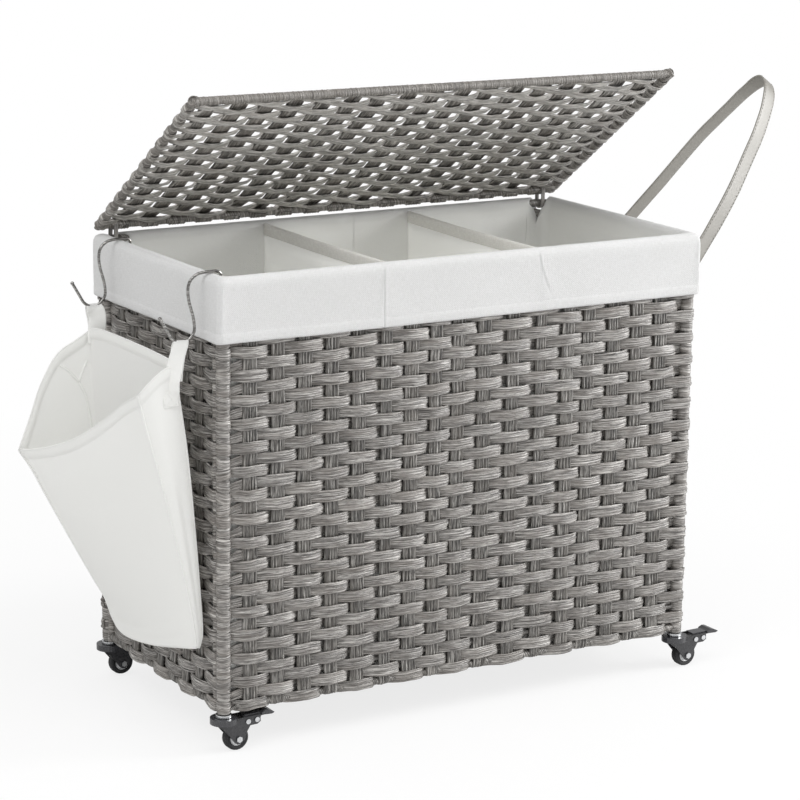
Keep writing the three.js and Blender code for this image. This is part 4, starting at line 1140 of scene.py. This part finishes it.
def weld(ob, dist):
    import bmesh
    bm = bmesh.new()
    bm.from_mesh(ob.data)
    bmesh.ops.remove_doubles(bm, verts=bm.verts, dist=dist * MM)
    bmesh.ops.recalc_face_normals(bm, faces=bm.faces)
    bm.to_mesh(ob.data)
    bm.free()
    for p in ob.data.polygons:
        p.use_smooth = True
    return ob


def cloth_relax(ob, pinned, pressure, frames, cap, tension=15.0, gravity=0.0, mass=0.2):
    """Runs the cloth solver on a copy, caps how far a point may move, and writes the result back."""
    rest = np.array([v.co for v in ob.data.vertices], float)
    work = bpy.data.objects.new("cloth_work", ob.data.copy())
    bpy.context.scene.collection.objects.link(work)
    vg = work.vertex_groups.new(name="pin")
    for i, w in enumerate(pinned):
        if w > 0:
            vg.add([i], float(w), "REPLACE")
    md = work.modifiers.new("Cloth", "CLOTH")
    st = md.settings
    st.quality = 6
    st.mass = mass
    st.tension_stiffness = tension
    st.compression_stiffness = tension
    st.shear_stiffness = 5
    st.bending_stiffness = 0.6
    st.vertex_group_mass = "pin"
    st.use_pressure = pressure != 0
    st.uniform_pressure_force = pressure
    st.effector_weights.gravity = gravity
    md.collision_settings.use_collision = False
    md.point_cache.frame_start, md.point_cache.frame_end = 1, frames
    sc = bpy.context.scene
    for f in range(1, frames + 1):
        sc.frame_set(f)
    dg = bpy.context.evaluated_depsgraph_get()
    me = work.evaluated_get(dg).to_mesh()
    co = np.array([v.co for v in me.vertices], float)
    work.evaluated_get(dg).to_mesh_clear()
    if len(co) == len(rest) and np.isfinite(co).all():
        move = co - rest
        dist = np.linalg.norm(move, axis=1, keepdims=True)
        move *= np.minimum(1.0, cap * MM / np.maximum(dist, 1e-9))
        ob.data.vertices.foreach_set("co", (rest + move).astype(np.float32).ravel())
        ob.data.update()
    else:
        move = np.zeros_like(rest)
    sc.frame_set(1)
    me_work = work.data
    bpy.data.objects.remove(work)
    bpy.data.meshes.remove(me_work)
    return rest, move


def outward(ob):
    """+1 if the faces of a bag-like mesh look away from its middle, -1 if they look inwards."""
    mid_ = np.mean([v.co for v in ob.data.vertices], axis=0)
    tot = sum(float(np.dot(np.array(f.center) - mid_, np.array(f.normal))) * f.area for f in ob.data.polygons)
    return 1.0 if tot > 0 else -1.0


def follow(ob, field):
    """Carries sewn-on pieces along with the cloth they are stitched to."""
    if field is None:
        return
    rest, move = field
    co_ = np.array([v.co for v in ob.data.vertices], float)
    for i0 in range(0, len(co_), 400):
        d_ = np.linalg.norm(co_[i0:i0 + 400, None, :] - rest[None, :, :], axis=2)
        near_ = np.argpartition(d_, 4, axis=1)[:, :4]
        w_ = 1.0 / (np.take_along_axis(d_, near_, 1) + 1e-5)
        w_ /= w_.sum(1, keepdims=True)
        co_[i0:i0 + 400] += (move[near_] * w_[:, :, None]).sum(1)
    ob.data.vertices.foreach_set("co", co_.astype(np.float32).ravel())
    ob.data.update()


lco = np.array([v.co for v in liner.data.vertices], float) / MM
lpin = np.clip((lco[:, 2] - 496.0) / 10.0, 0, 1)
lpin = np.maximum(lpin, np.clip((40.0 - lco[:, 2]) / 20.0, 0, 1))
skirt_ = (np.abs(lco[:, 0]) > 324.5) | (np.abs(lco[:, 1]) > 159.5)
lpin = np.maximum(lpin, skirt_ * np.clip((450.0 - lco[:, 2]) / 8.0, 0, 0.9))
for x0_ in (-115.5, 104.2):
    lpin = np.maximum(lpin, ((lco[:, 1] < 0) & skirt_) * np.clip(1 - (np.abs(lco[:, 0] - x0_) - 1.5) / 3.0, 0, 1))
for x0_ in (-308.5, 308.5):
    lpin = np.maximum(lpin, (lco[:, 1] > 100) * (lco[:, 2] > 440) * np.clip(1 - (np.abs(lco[:, 0] - x0_) - 16.0) / 8.0, 0, 1))
cloth_relax(liner, lpin, 0.5, 8, 1.4, gravity=0.4)

bag, BE = build_bag()
weld(bag, 0.6)
co = np.array([v.co for v in bag.data.vertices], float) / MM
edge_pts = np.vstack([bag_world(e) for e in BE[0:10]])
d2 = np.min(np.linalg.norm(co[:, None, :] - edge_pts[None, ::3, :], axis=2), axis=1)
pin = np.clip(1 - (d2 - 2.0) / 12.0, 0, 1)
pin = np.maximum(pin, (co[:, 2] < 60).astype(float))
bag_field = cloth_relax(bag, pin, 1.8 * outward(bag), 16, 4.0, gravity=0.3)
solidify(bag, 0.9, 0.0)
sub = bag.modifiers.new("smooth", "SUBSURF")
sub.levels = sub.render_levels = 1
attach(bag, "side_bag"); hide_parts("side_bag")


def tape(soup, centre, normal, side, width, thick, rnd=0.3, stitch_groove=0.25):
    """Flat sewn band along a path."""
    a = np.array([-1, -0.86, -0.80, -0.74, 0, 0.74, 0.80, 0.86, 1.0])
    t = np.array([0.25, 0.5, 0.5 - stitch_groove, 0.5, 0.55, 0.5, 0.5 - stitch_groove, 0.5, 0.25])
    top = np.stack([a * width / 2, t * thick], 1)
    bot = np.stack([a[::-1][::2] * width / 2, np.full(5, -0.4 * thick)], 1)
    ribbon(soup, centre, normal, side, np.vstack([top, bot]), rnd)


def cloth_attr(ob, scale=0.1):
    """Strand attributes hold u in tenths; cloth shaders read metres."""
    at = ob.data.attributes["strand"]
    a = np.zeros(len(at.data) * 3, np.float32)
    at.data.foreach_get("vector", a)
    a = a.reshape(-1, 3)
    a[:, 0] *= scale
    a[:, 1] *= 0.008
    at.data.foreach_set("vector", a.ravel())


def build_bag_trim():
    """Mouth hem and piped seams."""
    fo, fb, ro, rb, mo, mb, mf, mr, co_, cb_, outer, back, front, rear = BE
    soup = Soup()
    for edge, patch, flip in ((mo, outer, 1), (mb, back, -1), (mf, front, 1), (mr, rear, 1)):
        # the band lies on the panel just below the mouth
        e = bag_world(patch[:, 0])
        k = 4
        below = bag_world(patch[:, k])
        down = unit(below - e)
        tan = tangents(e)
        nn = unit(np.cross(tan, down))
        centre = e + down * 6.6
        tape(soup, centre, nn, down, 14.4, 1.9, stitch_groove=0.2)
    hem = soup.make("side_bag_hem", M_BAG)
    cloth_attr(hem)
    soup = Soup()
    for edge in (fo, ro, fb, rb, co_):
        p = resample(bag_world(edge), 4.0)
        tan = tangents(p)
        ref = np.array([1.0, 0.3, 0.2])
        s1 = unit(np.cross(tan, ref))
        s2 = np.cross(tan, s1)
        ring = np.array([(1.25 * math.cos(a), 1.25 * math.sin(a)) for a in np.linspace(0, 2 * PI, 9)[:-1]])
        ribbon(soup, p, s1, s2, ring[::-1], 0.5)
    def on_rear(uvs):
        g = rear
        n, m = g.shape[:2]
        out = []
        for u_, v_ in uvs:
            i, j = u_ * (n - 1), v_ * (m - 1)
            i0, j0 = min(int(i), n - 2), min(int(j), m - 2)
            fi, fj = i - i0, j - j0
            out.append((g[i0, j0] * (1 - fi) + g[i0 + 1, j0] * fi) * (1 - fj) + (g[i0, j0 + 1] * (1 - fi) + g[i0 + 1, j0 + 1] * fi) * fj)
        return bag_world(np.array(out))
    for uvs in ([(0.27, 0.045), (0.2, 0.09), (0.13, 0.145)], [(0.03, 0.09), (0.08, 0.115), (0.13, 0.145)], [(0.13, 0.145), (0.085, 0.2), (0.07, 0.25), (0.06, 0.35), (0.05, 0.5)]):
        p = resample(on_rear(uvs), 3.0)
        p[:, 1] -= 0.6
        tan = tangents(p)
        s1 = unit(np.cross(tan, np.array([0.2, 1.0, 0.1])))
        s2 = np.cross(tan, s1)
        ring = np.array([(1.5 * math.cos(a), 1.0 * math.sin(a)) for a in np.linspace(0, 2 * PI, 9)[:-1]])
        ribbon(soup, p, s2, s1, ring, 0.5)
    seams = soup.make("side_bag_seams", M_BAG)
    cloth_attr(seams)
    return hem, seams


for o in build_bag_trim():
    follow(o, bag_field)
    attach(o, "side_bag")

HOOK_Y = (-134.0, 102.0)
HOOK_PATH = [(-19.3, -30), (-19.3, -6), (-18.6, 0.3), (-14.2, 2.7), (-8, 3.0), (0, 2.9), (9, 1.6), (16, -2.4), (20.6, -9), (21.8, -18), (20.2, -30), (15.6, -46), (13.9, -57.5), (14.6, -64.5)]
for a in np.linspace(-135, -30, 14):
    HOOK_PATH.append((30 + 16 * math.cos(math.radians(a)), -59 + 16 * math.sin(math.radians(a))))
HOOK_PATH += [(48, -59.8), (56.4, -45.4)]


def build_tabs():
    """Cotton tapes folded over the hook cradles. Each is sewn to the outside of the gusset and to its hem inside."""
    def hang(points, widths):
        p = np.array(points, float)
        wv = unit(np.array(widths, float))
        both = resample(np.hstack([p, wv * 20]), 1.6)
        path, wd = both[:, :3], unit(both[:, 3:])
        tan = tangents(path)
        wd = unit(wd - tan * np.sum(wd * tan, 1, keepdims=True))
        return path, wd, unit(np.cross(tan, wd))

    spec = {
        # near leg from its sewn end up, over the wire, and down inside
        "front": ([(46, -140.6, -146), (47, -140.8, -136), (46.5, -141, -124), (45, -141, -112), (41, -140, -98), (36.5, -138.6, -86), (33, -137.4, -78), (31.5, -135.9, -74.2), (31, -134, -72.4), (31, -132.1, -74.2), (32, -131, -79), (34, -131.2, -92), (37, -133.2, -104), (39, -134.2, -118)],
                  [(1, 0, 0.15), (1, 0, 0.15), (0.75, 0.62, 0.15), (0.62, 0.75, 0.2), (0.85, 0.45, 0.25), (1, 0.15, 0.2), (1, 0, 0.08), (1, 0, 0.03), (1, 0, 0), (1, 0, 0), (1, 0, 0), (1, 0, 0), (1, 0, 0), (1, 0, 0)]),
        "rear": ([(27, 99.6, -120), (27, 99.4, -110), (26.5, 98.6, -100), (26, 98.6, -90), (27, 99.2, -82), (28.5, 100, -77.5), (29, 101, -73.8), (29, 102.2, -72.2), (29, 103.8, -73.8), (28.5, 105, -79), (26, 105.6, -92), (24, 105.8, -106), (24, 106, -120)],
                 [(1, 0.1, -0.1), (1, 0.15, -0.1), (0.9, 0.4, -0.1), (0.85, 0.45, -0.1), (0.95, 0.3, -0.05), (1, 0.1, 0), (1, 0, 0), (1, 0, 0), (1, 0, 0), (1, 0, 0), (1, -0.1, 0), (1, -0.1, 0), (1, -0.1, 0)]),
    }
    for name, (pts, wds) in spec.items():
        path, wd, nn = hang(pts, wds)
        w = bag_world(path)
        flip = np.array([-1.0, 1.0, 1.0])
        soup = Soup()
        zed = np.interp(np.linspace(0, 1, len(w)), [0, 0.5, 1], [1.0, 0.93, 1.0])
        a_ = np.array([-1, -0.93, -0.86, -0.80, -0.74, -0.3, 0, 0.3, 0.74, 0.80, 0.86, 0.93, 1.0])
        t_ = np.array([0.2, 0.5, 0.5, 0.28, 0.5, 0.52, 0.54, 0.52, 0.5, 0.28, 0.5, 0.5, 0.2])
        half_ = 9.8 if name == "front" else 11.0
        ring = np.vstack([np.stack([a_ * half_, t_ * 1.25], 1), np.stack([a_[::-1][1:-1:2] * half_, np.full(6, -0.6)], 1)])
        ribbon(soup, w, nn * flip, wd * flip, ring, 0.4, scale=np.stack([zed, np.ones(len(w))], 1))
        if name == "front":
            # box of stitching where the tape meets the gusset
            c = bag_world(np.array([[46.5, -141.6, -136.0]]))[0]
            ux, uz = unit(np.array([[-1.0, 0, 0.15]]))[0], unit(np.array([[0.15, 0, 1.0]]))[0]
            corners_ = [c + ux * i * 7.0 + uz * j * 8.0 for i, j in ((-1, -1), (1, -1), (1, 1), (-1, 1), (-1, -1), (1, 1))]
            corners_ += [corners_[2] * 0 + c + ux * -7.0 + uz * 8.0, c + ux * 7.0 - uz * 8.0]
            for p0, p1 in zip(corners_[:-1], corners_[1:]):
                L = np.linalg.norm(p1 - p0)
                k = max(3, int(L / 2.4))
                for q in range(k):
                    a0, a1 = p0 + (p1 - p0) * (q + 0.12) / k, p0 + (p1 - p0) * (q + 0.88) / k
                    seg_ = np.linspace(a0, a1, 4)
                    tan = tangents(seg_)
                    s1 = unit(np.cross(tan, np.array([0, 1.0, 0.0])))
                    ring6 = np.array([(math.cos(x), math.sin(x)) for x in np.linspace(0, 2 * PI, 7)[:-1]])
                    rr = np.array([0.12, 0.34, 0.34, 0.12])
                    ribbon(soup, seg_, np.cross(tan, s1), s1, ring6[::-1], 0.5, scale=np.stack([rr, rr], 1))
        ob = soup.make("side_bag_tab_cloth_" + name, M_BAG)
        cloth_attr(ob)
        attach(ob, "side_bag"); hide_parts("side_bag_tab_" + name)


build_tabs()


# ------------------------------------------------------------------ hooks
def tube(soup, path, radius, seg=14, rnd=0.5, taper_ends=True):
    p = np.asarray(path, float)
    n = len(p)
    tan = tangents(p)
    ref = np.array([0.0, 1.0, 0.0]) if np.abs(tan[:, 1]).max() < 0.9 else np.array([1.0, 0.0, 0.0])
    s1 = unit(np.cross(tan, ref))
    s2 = np.cross(tan, s1)
    ang = np.linspace(0, 2 * PI, seg, endpoint=False)
    ring = np.stack([np.cos(ang), np.sin(ang)], 1)
    rad = np.full(n, float(radius)) if np.isscalar(radius) else np.asarray(radius, float)
    ribbon(soup, p, s1, s2, ring[::-1], rnd, scale=np.stack([rad, rad], 1))


for name, yh in (("front", HOOK_Y[0]), ("rear", HOOK_Y[1])):
    p3 = resample(np.array([(BAG_X - o, yh, 512 + z) for o, z in HOOK_PATH]), 1.2)
    soup = Soup()
    rad = np.full(len(p3), 1.75)
    tube(soup, p3, rad, 14)
    for end, nxt in ((p3[0], p3[1]), (p3[-1], p3[-2])):
        d = unit((end - nxt)[None])[0]
        k = np.linspace(-PI / 2, PI / 2, 9)
        bead = end[None, :] + d[None, :] * (2.3 * np.sin(k))[:, None]
        tube(soup, bead, np.maximum(2.3 * np.cos(k), 0.05), 14)
    ob = soup.make("bag_hook_" + name, M_STEEL)
    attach(ob, "bag_hooks"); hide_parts("hook_" + name)

# ------------------------------------------------------------------ handle strap
STRAP = [(-95, -9), (-95, 8), (-94.5, 40), (-92.5, 80), (-91, 107), (-87.5, 141), (-81.6, 176), (-76, 207), (-70, 240), (-59.5, 273), (-47, 299), (-36, 311), (-23, 317.5), (-8, 312), (6, 297), (16, 279.5), (30.8, 249.5), (44, 218), (62, 154), (79, 92), (90, 45), (94.6, 12), (95, -9)]


def build_strap():
    a = math.radians(36.5)
    wdir = np.array([math.cos(a), 0, -math.sin(a)])
    sdir = np.array([math.sin(a), 0, math.cos(a)])
    piv = np.array([342.0, 0.0, 420.0])
    yz = resample(np.array(STRAP, float), 3.0)
    path = piv + np.array([0, 1.0, 0]) * yz[:, :1] + sdir * yz[:, 1:]
    tan = tangents(path)
    side = np.tile(wdir, (len(path), 1))
    normal = unit(np.cross(side, tan))           # points outwards or inwards along the whole loop
    mid = path.mean(0)
    if np.dot(normal[len(path) // 2], path[len(path) // 2] - mid) < 0:
        normal = -normal
    s = arc_length(path)
    # the strap lies a little turned on both legs, about its inner edge
    q_ = s / s[-1]
    phi = np.radians(np.interp(q_, [0, 0.05, 0.10, 0.16, 0.40, 0.47, 0.50, 0.53, 0.58, 0.70, 0.86, 0.92, 0.97, 1], [0, -5, -13, -11, -10, -4, 4, 15, 21, 21, 22, 14, 3, 0]))
    slip = np.interp(q_, [0, 0.08, 0.16, 0.25, 0.38, 0.46, 0.54, 0.62, 0.78, 0.86, 0.93, 1], [0, -1.0, 1.0, 3.0, 0.5, 0, 3.0, 3.4, 2.4, 0, 0, 0])
    turned = side * np.cos(phi)[:, None] + normal * np.sin(phi)[:, None]
    path = path + 12.0 * (side - turned) + np.array([1.0, 0, 0]) * slip[:, None]
    tan = tangents(path)
    side = unit(turned - tan * np.sum(turned * tan, 1, keepdims=True))
    nn_ = unit(np.cross(side, tan))
    normal = nn_ * np.sign(np.sum(nn_ * normal, 1, keepdims=True))
    soup = Soup()
    w, t = 12.0, 1.25
    top = [(-12, 0.1), (-11.9, 0.7), (-11.4, 1.12), (-10.6, 1.25), (-10.1, 1.2), (-9.7, 0.95), (-9.3, 1.2), (-8.6, 1.3), (-4, 1.42), (0, 1.46), (4, 1.42), (8.6, 1.3), (9.3, 1.2), (9.7, 0.95), (10.1, 1.2), (10.6, 1.25), (11.4, 1.12), (11.9, 0.7), (12, 0.1)]
    bot = [(11.9, -0.6), (11.2, -1.15), (9.0, -1.25), (0, -1.25), (-9.0, -1.25), (-11.2, -1.15), (-11.9, -0.6)]
    n = len(path)
    sag = 1 + smooth_noise(np.random.default_rng(3), n, 3.0, 120.0, 0.012)
    ribbon(soup, path, normal, side, np.array(top + bot), 0.5, scale=np.stack([sag, np.ones(n)], 1))
    ob = soup.make("handle_strap_leather", M_STRAP)
    st = Soup()
    pitch = 5.2
    for off in (-9.7, 9.7):
        for q in np.arange(12.0, s[-1] - 12, pitch):
            ks = np.linspace(q, q + 3.5, 5)
            c = np.stack([np.interp(ks, s, path[:, j]) for j in range(3)], 1)
            nn = unit(np.stack([np.interp(ks, s, normal[:, j]) for j in range(3)], 1))
            hgt = np.array([1.0, 1.35, 1.42, 1.35, 1.0])
            sd_ = unit(np.stack([np.interp(ks, s, side[:, j]) for j in range(3)], 1))
            c = c + sd_ * off + nn * (hgt[:, None] - 0.1)
            rr = np.array([0.15, 0.38, 0.42, 0.38, 0.15])
            ring = np.array([(math.cos(x), math.sin(x)) for x in np.linspace(0, 2 * PI, 7)[:-1]])
            ribbon(st, c, nn, sd_, ring[::-1], 0.5, scale=np.stack([rr, rr], 1))
    thread = st.make("handle_strap_stitching", M_STRAP_THREAD)
    return ob, thread


strap, strap_thread = build_strap()
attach(strap, "handle"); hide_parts("handle_strap")
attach(strap_thread, "handle")

# ------------------------------------------------------------------ CAD pieces that stay, with their finishes
FINISH = (("_frame", M_WIRE, "frame_wire"), ("hinge_loop", M_RATTAN, "rattan"), ("base_panel", M_STAKE, "rattan"),
          ("handle_anchor", M_CSTEEL, "caster_steel"), ("handle_rivet", M_CSTEEL, "caster_steel"),
          ("caster_insert", M_INSERT, "insert_plastic"), ("caster_stem", M_CSTEEL, "caster_steel"), ("caster_fork", M_BLACK, "caster_black"),
          ("caster_axle", M_CSTEEL, "caster_steel"), ("wheel_hub", M_WHEEL, "wheel_grey"), ("wheel_tyre", M_TYRE, "tyre"),
          ("brake_pedal", M_BLACK, "caster_black"), ("brake_pin", M_CSTEEL, "caster_steel"))
for name, ob in NODES.items():
    if ob.hide_render:
        continue
    for key, mat, slot_name in FINISH:
        if key in name:
            ob.data.materials.clear()
            ob.data.materials.append(mat)
            if "strand" not in ob.data.attributes:
                co = np.zeros(len(ob.data.vertices) * 3, np.float32)
                ob.data.vertices.foreach_get("co", co)
                co = co.reshape(-1, 3)
                at = ob.data.attributes.new("strand", "FLOAT_VECTOR", "POINT")
                at.data.foreach_set("vector", (co * np.array([10, 60, 3.0])).astype(np.float32).ravel())
            bv = ob.modifiers.new("edges", "BEVEL")
            bv.width = 0.00045
            bv.segments = 2
            bv.limit_method = "ANGLE"
            bv.angle_limit = math.radians(38)
            bv.harden_normals = False
            for p in ob.data.polygons:
                p.use_smooth = True
            wn = ob.modifiers.new("normals", "WEIGHTED_NORMAL")
            wn.keep_sharp = True
            break

# ------------------------------------------------------------------ studio
KEY, FILL, TOP, SHEEN, WORLD, GRAZE = 43.0, 21.0, 23.0, 115.0, 0.55, 12.0
FLOOR_Z = -0.0462
me = bpy.data.meshes.new("floor")
S = 14.0
me.from_pydata([(-S, -S, FLOOR_Z), (S, -S, FLOOR_Z), (S, S, FLOOR_Z), (-S, S, FLOOR_Z)], [], [(0, 1, 2, 3)])
floor = bpy.data.objects.new("floor", me)
bpy.context.scene.collection.objects.link(floor)
fm, fnt, fb = new_material("studio_floor")
fb.inputs["Base Color"].default_value = (0.93, 0.93, 0.93, 1)
fb.inputs["Roughness"].default_value = 0.9
fb.inputs["Specular IOR Level"].default_value = 0.1
fo = [n for n in fnt.nodes if n.type == "OUTPUT_MATERIAL"][0]
em = fnt.nodes.new("ShaderNodeEmission")
em.inputs[1].default_value = 1.0
lpf = fnt.nodes.new("ShaderNodeLightPath")
geo = fnt.nodes.new("ShaderNodeNewGeometry")
ln = fnt.nodes.new("ShaderNodeVectorMath"); ln.operation = "LENGTH"
fnt.links.new(geo.outputs["Position"], ln.inputs[0])
mr = fnt.nodes.new("ShaderNodeMapRange")
mr.inputs["From Min"].default_value = 0.55
mr.inputs["From Max"].default_value = 1.5
mr.inputs["To Min"].default_value = 0.80
mr.inputs["To Max"].default_value = 1.0
fnt.links.new(ln.outputs["Value"], mr.inputs[0])
fmx = fnt.nodes.new("ShaderNodeMixShader")
fnt.links.new(math_node(fnt, "MULTIPLY", mr.outputs[0], lpf.outputs["Is Camera Ray"]), fmx.inputs[0])
fnt.links.new(fb.outputs[0], fmx.inputs[1])
fnt.links.new(em.outputs[0], fmx.inputs[2])
fnt.links.new(fmx.outputs[0], fo.inputs[0])
me.materials.append(fm)


def area(name, loc, target, size, size_y, power, colour=(1, 1, 1), diffuse=True, glossy=True):
    l = bpy.data.lights.new(name, "AREA")
    l.shape = "RECTANGLE"
    l.size, l.size_y = size, size_y
    l.energy = power
    l.color = colour
    o = bpy.data.objects.new(name, l)
    o.location = loc
    o.rotation_euler = (Vector(target) - Vector(loc)).to_track_quat("-Z", "Y").to_euler()
    o.visible_diffuse = diffuse
    o.visible_glossy = glossy
    o.visible_camera = False
    bpy.context.scene.collection.objects.link(o)
    return o


mid = Vector((0, 0, 0.25))


def around(azimuth, elevation, dist):
    a_, e_ = math.radians(azimuth), math.radians(elevation)
    return Vector((dist * math.sin(a_) * math.cos(e_), -dist * math.cos(a_) * math.cos(e_), 0.25 + dist * math.sin(e_)))


area("key_right", around(64, 26, 3.2), mid, 0.8, 1.2, KEY)
area("fill_left", around(-72, 50, 3.0), mid, 1.4, 1.4, FILL)
area("top", around(-5, 62, 3.2), mid, 2.2, 1.6, TOP)
area("sheen_right", around(62, 12, 2.8), mid, 1.6, 2.4, SHEEN, diffuse=False)
area("graze_right", around(84, 16, 3.2), mid, 0.7, 1.2, GRAZE)

w = bpy.data.worlds.new("studio")
w.use_nodes = True
bg = w.node_tree.nodes["Background"]
bg.inputs[0].default_value = (1, 1, 1, 1)
bg.inputs[1].default_value = WORLD
lp = w.node_tree.nodes.new("ShaderNodeLightPath")
bg2 = w.node_tree.nodes.new("ShaderNodeBackground")
bg2.inputs[0].default_value = (1, 1, 1, 1)
bg2.inputs[1].default_value = 1.0
mx = w.node_tree.nodes.new("ShaderNodeMixShader")
w.node_tree.links.new(lp.outputs["Is Camera Ray"], mx.inputs[0])
w.node_tree.links.new(bg.outputs[0], mx.inputs[1])
w.node_tree.links.new(bg2.outputs[0], mx.inputs[2])
w.node_tree.links.new(mx.outputs[0], w.node_tree.nodes["World Output"].inputs[0])
bpy.context.scene.world = w
bpy.context.scene.view_settings.view_transform = "Standard"
bpy.context.scene.view_settings.look = "None"

# ------------------------------------------------------------------ camera at the photograph's angle
a, e, roll = math.radians(-30.8586), math.radians(13.2094), math.radians(0.7536)
back = Vector((math.sin(a) * math.cos(e), -math.cos(a) * math.cos(e), math.sin(e)))
right = Vector((math.cos(a), math.sin(a), 0))
up = back.cross(right)
R = right * math.cos(roll) + up * math.sin(roll)
U = up * math.cos(roll) - right * math.sin(roll)
cam_data = bpy.data.cameras.new("camera")
cam_data.lens = 126.305
cam_data.sensor_width = 36.0
cam = bpy.data.objects.new("camera", cam_data)
pos = Vector((0.008446, 0.007482, 0.301673)) + back * 3.470527
cam.matrix_world = Matrix(((R.x, U.x, back.x, pos.x), (R.y, U.y, back.y, pos.y), (R.z, U.z, back.z, pos.z), (0, 0, 0, 1)))
bpy.context.scene.collection.objects.link(cam)
bpy.context.scene.camera = cam
cam_data.clip_start, cam_data.clip_end = 0.05, 60.0

# ------------------------------------------------------------------ the end
import json
